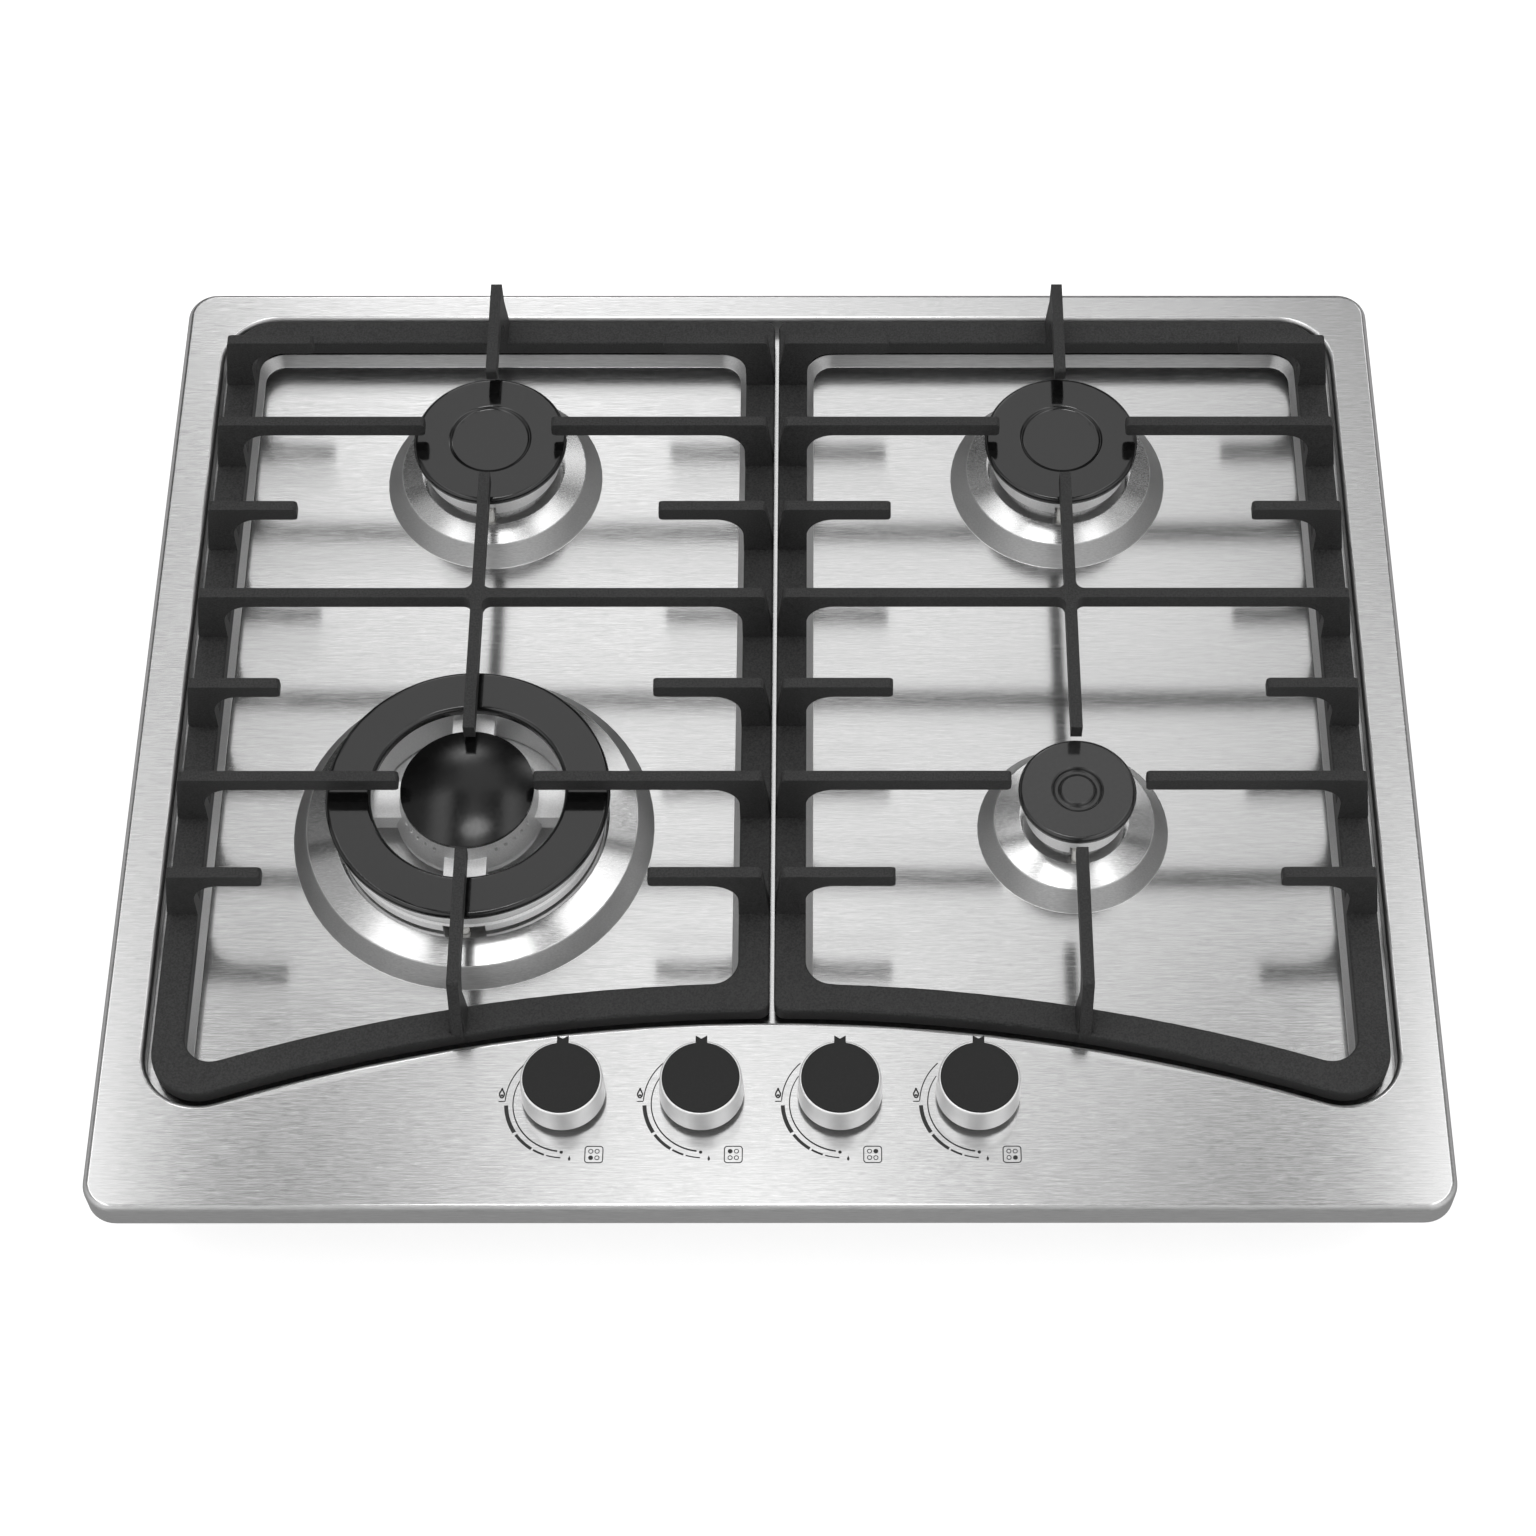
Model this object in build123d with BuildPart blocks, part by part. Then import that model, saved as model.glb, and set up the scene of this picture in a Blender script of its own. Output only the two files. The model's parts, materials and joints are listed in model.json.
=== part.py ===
from build123d import *
import os
from math import atan2, cos, degrees, pi, radians, sin, sqrt
from types import SimpleNamespace

os.makedirs("parts", exist_ok=True)

# Built-in gas cooktop with four burners, in millimetres.
# +Z is up, X runs to the right and Y to the back.
# The origin is the middle of the underside of the bottom tray.

# Top panel, one pressed sheet of stainless steel
panel_width = 590.0
panel_depth = 500.0
panel_corner = 14.0
sheet = 1.0
rim_round = 3.0
skirt_height = 14.0
lip_width = 9.0

# Foam seal under the rim
seal_thickness = 2.0
seal_width = 6.0
seal_inset = 1.5

# Well for the grates, with an arched front, set in by the rim's width on each side
rim_side = 20.5
rim_back = 17.0
rim_front = 90.0
well_width = panel_width - 2 * rim_side
well_back = panel_depth / 2 - rim_back
arch_front = panel_depth / 2 - rim_front
arch_radius = 770.0
well_rear_corner = 26.0
well_front_corner = 25.0
well_depth = 9.0
well_edge_round = 2.5

# Two pits inside the well
ledge_width = 15.0
ridge_half = 14.0
pit_depth = 5.0
pit_slope = 4.0
pit_corner = 14.0

# Raised cones round the burners, heights above the pit floor
crest_height = 9.5
seat_height = 12.5
seat_margin = 2.0
cone_round = 1.2

# Burner places
burner_inset = 20.0
burner_from_back = 89.3
burner_from_arch = 105.5
burner_x = (panel_width / 2 - burner_inset) / 2
burner_rear_y = well_back - burner_from_back
burner_front_y = burner_from_arch - arch_front

# Cone foot, cone crest, head and cap radii of the three burner sizes
medium_ring = 52.1
medium_crest = 44.8
medium_head = 33.0
medium_cap = 36.8
small_ring = 43.7
small_crest = 36.9
small_head = 23.0
small_cap = 26.7
large_ring = 82.6
large_crest = 76.0
large_head = 61.0
large_cap = 64.3

# Burner cups, lock rings and heads
head_gap = 6.3
medium_wall_height = 11.2
small_wall_height = 13.4
large_wall_height = 12.0
head_wall = 6.0
head_floor = 3.0
head_overhang = 4.0
large_overhang = 5.0
lock_ring_width = 3.5
lock_ring_height = 3.0
collar_wall = 3.0
spigot_depth = 9.0
spigot_wall = 2.5
port_width = 1.5
port_height = 3.0
port_pitch = 6.2
throat_depth = 4.0
pot_radius = 13.0
pot_wall = 2.5
pot_floor_z = 14.0
cup_shoulder = 2.0
cup_flange = 2.5
boss_radius = 6.5
boss_reach = 17.0
gas_bore = 2.5

# Large burner: inner crown, arms and ring
crown_top_radius = 28.5
crown_base_radius = 34.0
crown_rise = 4.2
crown_wall = 4.0
arm_width = 19.0
large_ring_inner = 46.0
ring_wall = 3.5
skirt_drop = 4.6
skirt_wall = 4.0
crown_port = 0.9
crown_port_drop = 5.0
crown_port_step = 9.0
crown_ports_per_gap = 5
arm_count = 4

# Caps
cap_thickness = 4.5
cap_edge_round = 2.1
cap_lip_depth = 2.5
cap_lip_wall = 1.6
medium_recess = 19.5
medium_recess_depth = 0.9
medium_plate = 16.5
medium_plate_depth = 0.5
small_recess = 11.5
small_button = 7.5
small_recess_depth = 1.6
small_button_depth = 0.4
large_cap_inner = 43.7
dome_radius = 30.2
dome_edge = 2.5
dome_rise = 4.2

# Spark electrodes
spark_radius = 2.2
spark_gap = 0.4
spark_notch = 7.0
large_spark_notch = 19.0
notch_height = 4.7
spark_exposed = 2.2
spark_shoulder = 3.6
spark_shoulder_height = 2.5
spark_length = 18.0
electrode_radius = 0.7
electrode_length = 1.8
electrode_tip = 3.0

# Grates
frame_gap = 3.6
bar_width = 14.0
bar_height = 8.0
foot_height = 4.5
grate_gap = 2.0
frame_outer_corner = 21.0
frame_rear_corner = 22.0
frame_inner_corner = 5.0
window_corner = 12.0
bar_round = 1.2
finger_rise = 31.0
finger_thickness = 5.2
finger_depth = 8.0
finger_fillet = 13.0
first_row = -1
front_burner_row = 0
cross_row = 2
rear_burner_row = 4
last_row = 5
finger_pitch = (burner_rear_y - burner_front_y) / rear_burner_row
finger_lean = 4.5
inner_finger_lean = 3.4
rear_finger_lean = 1.0
finger_round = 2.0
post_foot = 9.0
post_flare = 16.0
short_finger = 49.5
short_tip_outer = well_width / 2 - short_finger
short_tip_inner = 54.7
tip_reach = 30.3
middle_bar_front = burner_front_y + 25.5
front_finger_tip = burner_front_y - 36.0
front_finger_lean = 9.2
hub_arm = 9.0
hub_round = 4.0
foot_radius = 4.0
foot_stem_radius = 2.0
foot_stem = 3.5
foot_rear_y = well_back - 43.0
foot_front_y = 30.0 - arch_front

# Knobs
knob_order = ("front_left", "rear_left", "rear_right", "front_right")
knob_spacing = 60.0
knob_inset = 54.0
knob_y = knob_inset - panel_depth / 2
knob_radius = 18.4
knob_top_radius = 17.7
knob_height = 13.8
knob_lift = 3.8
knob_push = 3.0
knob_shell = 3.4
knob_web = 2.3
knob_bevel = 0.8
disc_radius = 16.75
disc_thickness = 2.2
disc_raise = 0.4
pointer_width = 5.0
pointer_reach = 3.4
pointer_notch = 1.6
hub_radius = 6.0
hub_lift = 1.5

# Bottom tray, set in from the well's edge
tray_depth = 44.0
tray_side_gap = 2.0
tray_back_gap = 5.5
tray_width = well_width - 2 * tray_side_gap
tray_length = 2 * (well_back - tray_back_gap)
tray_sheet = 1.0
tray_corner = 4.0
wing_gap = 2.0
vent_length = 40.0
vent_width = 4.0
vent_pitch = 12.0
vent_count = 5
clamp_hole_radius = 2.1
clamp_hole_x = tray_width - 85.0
clamp_hole_y = tray_length - 55.0

# Valves under the knobs
gas_line_z = 26.0
valve_radius = 12.5
valve_floor_z = 13.0
bonnet_z = 42.0
plug_radius = 6.5
plug_floor_z = 17.0
plug_height = 21.0
plug_passage = 2.0
stem_radius = 3.0
stem_flat = 2.2
stem_grip = 8.7
stem_entry = 4.5
stem_play = 0.5
stem_gap = 4.0
collar_radius = 5.4
collar_height = 2.5
spring_height = 11.0
spring_wall = 1.7
bonnet_plate = 2.0
neck_radius = 7.0
neck_bore = 5.7
neck_height = 9.6
neck_cover = 1.8
bonnet_screw_radius = 1.25
bonnet_screw_place = 9.8
bonnet_screw_head = 2.2
bonnet_screw_length = 8.0
outlet_reach = 8.5
switch_width = 24.0
switch_depth = 20.0
switch_height = 5.0

# Gas rail and inlet
rail_radius = 7.0
rail_wall = 1.5
rail_offset = 18.0
rail_start = 1.5 * knob_spacing + 22.0
rail_bend = 30.0
inlet_x = tray_width / 2 - 32.5
inlet_thread_radius = 10.48
inlet_reach = 10.5
inlet_bore = 5.5
inlet_relief = 1.0
inlet_hex = 24.0
inlet_hex_length = 8.0
inlet_stub = 13.0
inlet_stub_wall = 2.5
inlet_grip = 5.0
rail_tap = 2.5
clamp_half_width = 8.0
clamp_half_height = 12.5
clamp_depth = 9.0
clamp_screw_place = 9.8
clamp_screw_grip = 8.0
screw_radius = 1.5
screw_head_radius = 2.6
screw_head_height = 1.9

# Gas tubes and nuts
tube_radius = 4.0
tube_wall = 1.1
tube_bend = 18.0
front_tube_x = burner_x - 65.5
front_tube_jog = 35.0
nut_length = 10.0
nut_flats = 17.0
nut_cover = 3.0

# Injectors
injector_radius = 4.5
injector_height = 12.0
injector_bore = 0.6
injector_nose = 5.0
injector_nose_radius = 3.2

# Brackets and screws between tray and panel
bracket_width = 14.0
bracket_leg = 8.0
bracket_drop = 14.0
bracket_sheet = 1.5
bracket_screw_drop = 8.0
bracket_screw_radius = 1.65
bracket_screw_head = 3.4
side_bracket_y = tray_length / 2 - 107.5
end_bracket_x = tray_width / 2 - 122.5

# Spark generator, leads and cable gland
generator_length = 64.0
generator_depth = 30.0
generator_height = 26.0
generator_y = tray_length / 2 - 22.5
generator_ear = 10.0
generator_ear_height = 3.0
generator_round = 2.0
terminal_radius = 3.0
terminal_length = 6.0
terminal_pitch = 16.0
lead_radius = 1.5
lead_z = 10.0
lead_bend = 8.0
harness_radius = 1.0
gland_x = 72.5 - tray_width / 2
harness_x = gland_x + 30.0
gland_flange = 9.0
gland_neck = 6.5
gland_bore = 4.0
gland_passage = 5.0
gland_inside = 5.5
gland_grip = 10.0
gland_rim = 2.0

# Knob seals
seal_ring_radius = 9.0
seal_ring_bore = 3.5
seal_ring_height = 1.5

# Clearances
running_gap = 0.3
fit_gap = 0.05
hole_gap = 0.5
thread_gap = 0.15
cut_margin = 1.0

# Levels
form_skirt = 6.0
skirt_z = tray_depth + seal_thickness
rim_z = skirt_z + skirt_height
ledge_z = rim_z - well_depth
pit_z = ledge_z - pit_depth
crest_z = pit_z + crest_height
seat_z = pit_z + seat_height
seat_under_z = seat_z - sheet
collar_top_z = seat_z + head_gap
form_floor_z = pit_z - form_skirt
bar_bottom_z = ledge_z + foot_height
bar_top_z = bar_bottom_z + bar_height
finger_top_z = bar_top_z + finger_rise
finger_under_z = finger_top_z - finger_depth
knob_bottom_z = rim_z + knob_lift
knob_top_z = knob_bottom_z + knob_height
plug_top_z = plug_floor_z + plug_height
plug_low_z = plug_floor_z + running_gap
neck_top_z = bonnet_z + bonnet_plate + neck_height
stem_collar_z = plug_top_z + spring_height
stem_bottom_z = plug_top_z - stem_entry
knob_hub_z = knob_bottom_z + hub_lift
stem_top_z = knob_hub_z + stem_grip
disc_z = knob_top_z + disc_raise - disc_thickness
pointer_end = disc_radius + pointer_reach
arch_centre_y = -(arch_front + arch_radius)
rail_y = knob_y - rail_offset
tray_inner_x = tray_width / 2 - tray_sheet
tray_inner_y = tray_length / 2 - tray_sheet
valve_outlet_y = knob_y + valve_radius + outlet_reach
slope_angle = degrees(atan2(pit_slope, pit_depth))
knob_xs = [knob_spacing * (i - (len(knob_order) - 1) / 2) for i in range(len(knob_order))]


def burner(name, side, y, ring, crest, head, cap, wall_height, large=False):
    lock = head - (large_overhang if large else head_overhang)
    collar = lock - lock_ring_width
    notch = large_spark_notch if large else spark_notch
    head_bottom_z = collar_top_z - (skirt_drop if large else 0)
    return SimpleNamespace(
        name=name, side=side, x=side * burner_x, y=y, ring=ring, crest=crest, head=head, cap=cap,
        lock=lock, collar=collar, bore=collar - collar_wall, large=large, notch=notch,
        wall_top_z=collar_top_z + wall_height, spark_y=y - lock - spark_gap - spark_radius,
        head_bottom_z=head_bottom_z, spark_top_z=head_bottom_z + spark_exposed,
        crown_top_z=collar_top_z + wall_height + crown_rise)


burners = [
    burner("rear_left", -1, burner_rear_y, medium_ring, medium_crest, medium_head, medium_cap,
           medium_wall_height),
    burner("rear_right", 1, burner_rear_y, medium_ring, medium_crest, medium_head, medium_cap,
           medium_wall_height),
    burner("front_left", -1, burner_front_y, large_ring, large_crest, large_head, large_cap,
           large_wall_height, large=True),
    burner("front_right", 1, burner_front_y, small_ring, small_crest, small_head, small_cap,
           small_wall_height),
]


# ---- shared outlines and helpers ----

def upright(x, y, dx=1, dy=0):
    # a vertical plane through (x, y): local x along (dx, dy), local y upwards
    return Plane(origin=(x, y, 0), x_dir=(dx, dy, 0), z_dir=(dy, -dx, 0))


def facing(x, y, z, dx, dy):
    # a plane at a point that faces (dx, dy): local x level, local y upwards
    return Plane(origin=(x, y, z), x_dir=(-dy, dx, 0), z_dir=(dx, dy, 0))


def level(z, x=0.0, y=0.0):
    return Plane(origin=(x, y, z))


def axis_at(x, y):
    return Axis((x, y, 0), (0, 0, 1))


def arch_y(x, inset):
    return arch_centre_y + sqrt((arch_radius + inset) ** 2 - x ** 2)


def near(x, y):
    return vertices().sort_by_distance((x, y))[0]


def well_outline(inset):
    # the well's edge, moved inwards by inset
    half = well_width / 2 - inset
    back = well_back - inset
    front = arch_y(half, inset)
    with BuildSketch() as outline:
        with BuildLine():
            Polyline((-half, front), (-half, back), (half, back), (half, front))
            ThreePointArc((half, front), (0, arch_y(0, inset)), (-half, front))
        make_face()
        for side in (-1, 1):
            fillet(near(side * half, back), radius=well_rear_corner - inset)
            fillet(near(side * half, front), radius=well_front_corner - inset)
    return outline.sketch


def bay_outline(side, inset, inner, rear_corner, front_corner, inner_corner):
    # one half of the well, moved inwards by inset, with its inner edge at |x| = inner
    outer = well_width / 2 - inset
    back = well_back - inset
    middle = (inner + outer) / 2
    with BuildSketch() as outline:
        with BuildLine():
            Polyline((side * inner, arch_y(inner, inset)), (side * inner, back),
                     (side * outer, back), (side * outer, arch_y(outer, inset)))
            ThreePointArc((side * outer, arch_y(outer, inset)),
                          (side * middle, arch_y(middle, inset)),
                          (side * inner, arch_y(inner, inset)))
        make_face()
        fillet(near(side * outer, back), radius=rear_corner)
        fillet(near(side * outer, arch_y(outer, inset)), radius=front_corner)
        fillet(near(side * inner, back), radius=inner_corner)
        fillet(near(side * inner, arch_y(inner, inset)), radius=inner_corner)
    return outline.sketch


def pipe(path_points, bend, outer, inner):
    with BuildPart() as tube:
        with BuildLine() as path:
            FilletPolyline(*path_points, radius=bend)
        with BuildSketch(Plane(origin=path.line @ 0, z_dir=path.line % 0)):
            Circle(outer)
            if inner > 0:
                Circle(inner, mode=Mode.SUBTRACT)
        sweep()
    return tube.part


def rod(plane, radius, length):
    with BuildPart() as solid:
        with BuildSketch(plane):
            Circle(radius)
        extrude(amount=length)
    return solid.part


def turned(x, y, points):
    # a solid turned about the vertical axis at (x, y) from (radius, height) points
    with BuildPart() as solid:
        with BuildSketch(upright(x, y)):
            with BuildLine():
                Polyline(*points, close=True)
            make_face()
        revolve(axis=axis_at(x, y))
    return solid.part


def save(part, name):
    part.label = name
    export_step(part, f"parts/{name}.step")


# ---- top panel ----

def panel_form(skin):
    # the space under the sheet: skin 0 gives its upper face, skin = sheet its lower face
    top = rim_z - skin
    with BuildPart() as form:
        with BuildSketch(level(form_floor_z)):
            RectangleRounded(panel_width - 2 * skin, panel_depth - 2 * skin, panel_corner - skin)
        extrude(amount=top - form_floor_z)
        fillet(edges().group_by(Axis.Z)[-1], radius=rim_round - skin)
        with BuildSketch(level(top)):
            add(well_outline(-skin))
        extrude(amount=-well_depth, mode=Mode.SUBTRACT)
        for side in (-1, 1):
            with BuildSketch(level(top - well_depth)):
                add(bay_outline(side, ledge_width, ridge_half, pit_corner, pit_corner, pit_corner))
            extrude(amount=-pit_depth, taper=slope_angle, mode=Mode.SUBTRACT)
        fillet(faces().sort_by(Axis.Z)[-1].inner_wires()[0].edges(), radius=well_edge_round - skin)
        for b in burners:
            with BuildSketch(upright(b.x, b.y)):
                with BuildLine():
                    Polyline((0, form_floor_z), (b.ring, form_floor_z), (b.ring, pit_z - skin),
                             (b.crest, crest_z - skin), (b.head + seat_margin, seat_z - skin),
                             (0, seat_z - skin), (0, form_floor_z))
                make_face()
                fillet(near(b.crest, crest_z - skin), radius=cone_round)
                fillet(near(b.head + seat_margin, seat_z - skin), radius=cone_round)
            revolve(axis=axis_at(b.x, b.y))
    return form.part


def spark_places():
    return [(b.x, b.spark_y) for b in burners]


def under_rim(outset, inset, low, high):
    # a frame between two insets from the panel's edge
    with BuildPart() as ring:
        with BuildSketch(level(low)):
            RectangleRounded(panel_width - 2 * outset, panel_depth - 2 * outset, panel_corner - outset)
            RectangleRounded(panel_width - 2 * inset, panel_depth - 2 * inset, max(panel_corner - inset, 1),
                             mode=Mode.SUBTRACT)
        extrude(amount=high - low)
    return ring.part


upper_form = panel_form(0)
lower_form = panel_form(sheet)

with BuildPart() as top_panel:
    add(upper_form)
    add(lower_form, mode=Mode.SUBTRACT)
    add(under_rim(-sheet, lip_width, form_floor_z - sheet, skirt_z), mode=Mode.SUBTRACT)
    add(under_rim(0, lip_width, skirt_z, skirt_z + sheet))
    for b in burners:
        with BuildSketch(level(seat_z + cut_margin, b.x, b.y)):
            Circle(b.collar + hole_gap)
        extrude(amount=-2 * sheet - cut_margin, mode=Mode.SUBTRACT)
    with BuildSketch(level(seat_z + cut_margin)):
        with Locations(*spark_places()):
            Circle(spark_radius + hole_gap)
    extrude(amount=-2 * sheet - cut_margin, mode=Mode.SUBTRACT)
    with BuildSketch(level(rim_z + cut_margin)):
        with Locations(*[(x, knob_y) for x in knob_xs]):
            Circle(neck_radius + hole_gap)
    extrude(amount=-2 * sheet - cut_margin, mode=Mode.SUBTRACT)
save(top_panel.part, "top_panel")


# ---- bottom tray, brackets, screws and seal ----

def bracket_places():
    # inner face of the tray wall (x, y), level of the sheet above, outward direction
    side_level = ledge_z - sheet
    front_level = rim_z - sheet
    places = [(side * tray_inner_x, y, side_level, side, 0)
              for side in (-1, 1) for y in (-side_bracket_y, side_bracket_y)]
    places += [(x, tray_inner_y, side_level, 0, 1) for x in (-end_bracket_x, end_bracket_x)]
    places += [(x, -tray_inner_y, front_level, 0, -1) for x in (-end_bracket_x, end_bracket_x)]
    return places


def bracket_screw_planes(offset):
    # planes that face outwards at each screw, offset from the wall's inner face
    return [facing(x + offset * dx, y + offset * dy, z - bracket_screw_drop, dx, dy)
            for x, y, z, dx, dy in bracket_places()]


generator_screw_x = (generator_length + generator_ear) / 2
generator_screws = [(-generator_screw_x, generator_y), (generator_screw_x, generator_y)]
ear_top_z = tray_sheet + generator_ear_height

with BuildPart() as panel_brackets:
    for x, y, z, dx, dy in bracket_places():
        with BuildSketch(Plane(origin=(x, y, z), x_dir=(dx, dy, 0))):
            Rectangle(bracket_leg, bracket_width, align=(Align.MAX, Align.CENTER))
        extrude(amount=-bracket_sheet)
        with BuildSketch(Plane(origin=(x, y, z), x_dir=(dx, dy, 0))):
            Rectangle(bracket_sheet, bracket_width, align=(Align.MAX, Align.CENTER))
        extrude(amount=-bracket_drop)
    for plane in bracket_screw_planes(-bracket_sheet - hole_gap):
        add(rod(plane, bracket_screw_radius + fit_gap, bracket_sheet + 2 * hole_gap), mode=Mode.SUBTRACT)
save(panel_brackets.part, "panel_brackets")

with BuildPart() as tray_screws:
    for plane in bracket_screw_planes(tray_sheet):
        add(rod(plane, bracket_screw_head, screw_head_height))
    for plane in bracket_screw_planes(-2 * bracket_sheet):
        add(rod(plane, bracket_screw_radius, 2 * bracket_sheet + tray_sheet))
    for x, y in generator_screws:
        add(rod(level(ear_top_z, x, y), bracket_screw_head, screw_head_height))
        add(rod(level(0, x, y), bracket_screw_radius, ear_top_z))
save(tray_screws.part, "tray_screws")

tray_top_z = ledge_z - sheet
front_wall_z = rim_z - sheet
well_corner_x = well_width / 2 - well_front_corner
well_corner_y = arch_centre_y + sqrt((arch_radius + well_front_corner) ** 2 - well_corner_x ** 2)
pressed_corner = well_front_corner + well_edge_round + sheet
wing_back_y = well_corner_y - sqrt(pressed_corner ** 2 - (tray_inner_x - well_corner_x) ** 2) - wing_gap
with BuildPart() as bottom_tray:
    with BuildSketch(level(0)):
        RectangleRounded(tray_width, tray_length, tray_corner)
    extrude(amount=tray_top_z)
    with BuildSketch(level(tray_sheet)):
        RectangleRounded(2 * tray_inner_x, 2 * tray_inner_y, tray_corner - tray_sheet)
    extrude(amount=tray_top_z, mode=Mode.SUBTRACT)
    # the walls round the apron, up to its underside
    with BuildSketch(level(tray_top_z)):
        RectangleRounded(tray_width, tray_length, tray_corner)
        RectangleRounded(2 * tray_inner_x, 2 * tray_inner_y, tray_corner - tray_sheet, mode=Mode.SUBTRACT)
        with Locations((0, -tray_length / 2)):
            Rectangle(tray_width, wing_back_y + tray_length / 2, align=(Align.CENTER, Align.MIN),
                      mode=Mode.INTERSECT)
    extrude(amount=front_wall_z - tray_top_z)
    with BuildSketch(level(0)):
        for b in burners:
            with Locations((b.x, b.y)):
                with GridLocations(0, vent_pitch, 1, vent_count):
                    SlotOverall(vent_length, vent_width)
        with GridLocations(clamp_hole_x, clamp_hole_y, 2, 2):
            Circle(clamp_hole_radius)
        with Locations(*generator_screws):
            Circle(bracket_screw_radius + fit_gap)
    extrude(amount=tray_sheet, mode=Mode.SUBTRACT)
    for plane in bracket_screw_planes(-hole_gap):
        add(rod(plane, bracket_screw_radius + hole_gap, tray_sheet + 2 * hole_gap), mode=Mode.SUBTRACT)
    add(rod(facing(inlet_x, tray_inner_y, gas_line_z, 0, 1), inlet_thread_radius + fit_gap, tray_sheet),
        mode=Mode.SUBTRACT)
    add(rod(facing(gland_x, tray_inner_y, gas_line_z, 0, 1), gland_neck + fit_gap, tray_sheet),
        mode=Mode.SUBTRACT)
save(bottom_tray.part, "bottom_tray")

rim_seal = under_rim(seal_inset, seal_inset + seal_width, tray_depth, skirt_z)
save(rim_seal, "rim_seal")


# ---- burner cups, lock rings and injectors ----

flange_z = seat_under_z - cup_flange
shoulder_z = flange_z - cup_shoulder
pot_inside_z = pot_floor_z + pot_wall
boss_end = pot_radius + boss_reach
for b in burners:
    with BuildPart() as burner_cup:
        add(turned(b.x, b.y, [
            (0, pot_floor_z), (pot_radius, pot_floor_z), (pot_radius, shoulder_z), (b.collar, shoulder_z),
            (b.collar, flange_z), (b.lock, flange_z), (b.lock, seat_under_z), (b.collar, seat_under_z),
            (b.collar, collar_top_z), (b.bore, collar_top_z), (b.bore, flange_z),
            (pot_radius - pot_wall, flange_z), (pot_radius - pot_wall, pot_inside_z), (0, pot_inside_z)]))
        add(rod(facing(b.x - b.side * (pot_radius - pot_wall / 2), b.y, gas_line_z, -b.side, 0),
                boss_radius, boss_reach + pot_wall / 2))
        add(rod(facing(b.x, b.y, gas_line_z, -b.side, 0), gas_bore, boss_end), mode=Mode.SUBTRACT)
        add(rod(level(pot_inside_z, b.x, b.y), pot_radius - pot_wall, flange_z - pot_inside_z),
            mode=Mode.SUBTRACT)
    save(burner_cup.part, f"{b.name}_burner_cup")

with BuildPart() as cup_lock_rings:
    for b in burners:
        with BuildSketch(level(seat_z, b.x, b.y)):
            Circle(b.lock)
            Circle(b.collar + thread_gap, mode=Mode.SUBTRACT)
        extrude(amount=lock_ring_height)
save(cup_lock_rings.part, "cup_lock_rings")

with BuildPart() as injectors:
    for b in burners:
        with BuildSketch(level(pot_inside_z, b.x, b.y)):
            RegularPolygon(injector_radius, 6)
        extrude(amount=injector_height - injector_nose)
        add(rod(level(pot_inside_z, b.x, b.y), injector_nose_radius, injector_height))
        add(rod(level(pot_inside_z, b.x, b.y), injector_bore, injector_height), mode=Mode.SUBTRACT)
save(injectors.part, "injectors")


# ---- spark electrodes ----

spark_foot_z = seat_under_z - spark_length
with BuildPart() as spark_ceramics:
    for b in burners:
        add(rod(level(spark_foot_z, b.x, b.spark_y), spark_radius, b.spark_top_z - spark_foot_z))
        add(rod(level(flange_z - spark_shoulder_height, b.x, b.spark_y), spark_shoulder,
                spark_shoulder_height))
save(spark_ceramics.part, "spark_ceramics")

with BuildPart() as spark_electrodes:
    for b in burners:
        add(rod(level(b.spark_top_z, b.x, b.spark_y), electrode_radius, electrode_length))
        with BuildSketch(level(b.spark_top_z + electrode_length - electrode_radius, b.x, b.spark_y)):
            Rectangle(electrode_tip, 2 * electrode_radius)
        extrude(amount=electrode_radius)
save(spark_electrodes.part, "spark_electrodes")


# ---- burner heads ----

def slots(b, radius, length):
    # flame slots open at the top of a round wall
    with BuildPart() as cuts:
        with BuildSketch(level(b.wall_top_z - port_height, b.x, b.y)):
            with PolarLocations(radius, round(2 * pi * radius / port_pitch)):
                Rectangle(length, port_width)
        extrude(amount=2 * port_height)
    return cuts.part


def spark_cut(b):
    # room for the electrode at the front of the head
    with BuildPart() as cut:
        with BuildSketch(level(b.head_bottom_z - cut_margin, b.x, b.y - b.lock)):
            Rectangle(b.notch, b.head, align=(Align.CENTER, Align.MAX))
        extrude(amount=notch_height + cut_margin)
    return cut.part


def round_head(b):
    inner = b.head - head_wall
    spigot = b.bore - running_gap
    floor_z = collar_top_z + head_floor
    throat_z = b.wall_top_z - throat_depth
    with BuildPart() as head:
        add(turned(b.x, b.y, [
            (spigot - spigot_wall, collar_top_z - spigot_depth), (spigot, collar_top_z - spigot_depth),
            (spigot, collar_top_z), (b.head, collar_top_z), (b.head, b.wall_top_z), (inner, b.wall_top_z),
            (inner, floor_z), (spigot, floor_z), (spigot, throat_z), (spigot - spigot_wall, throat_z)]))
        add(slots(b, b.head - head_wall / 2, 2 * head_wall), mode=Mode.SUBTRACT)
        add(spark_cut(b), mode=Mode.SUBTRACT)
    return head.part


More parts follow.
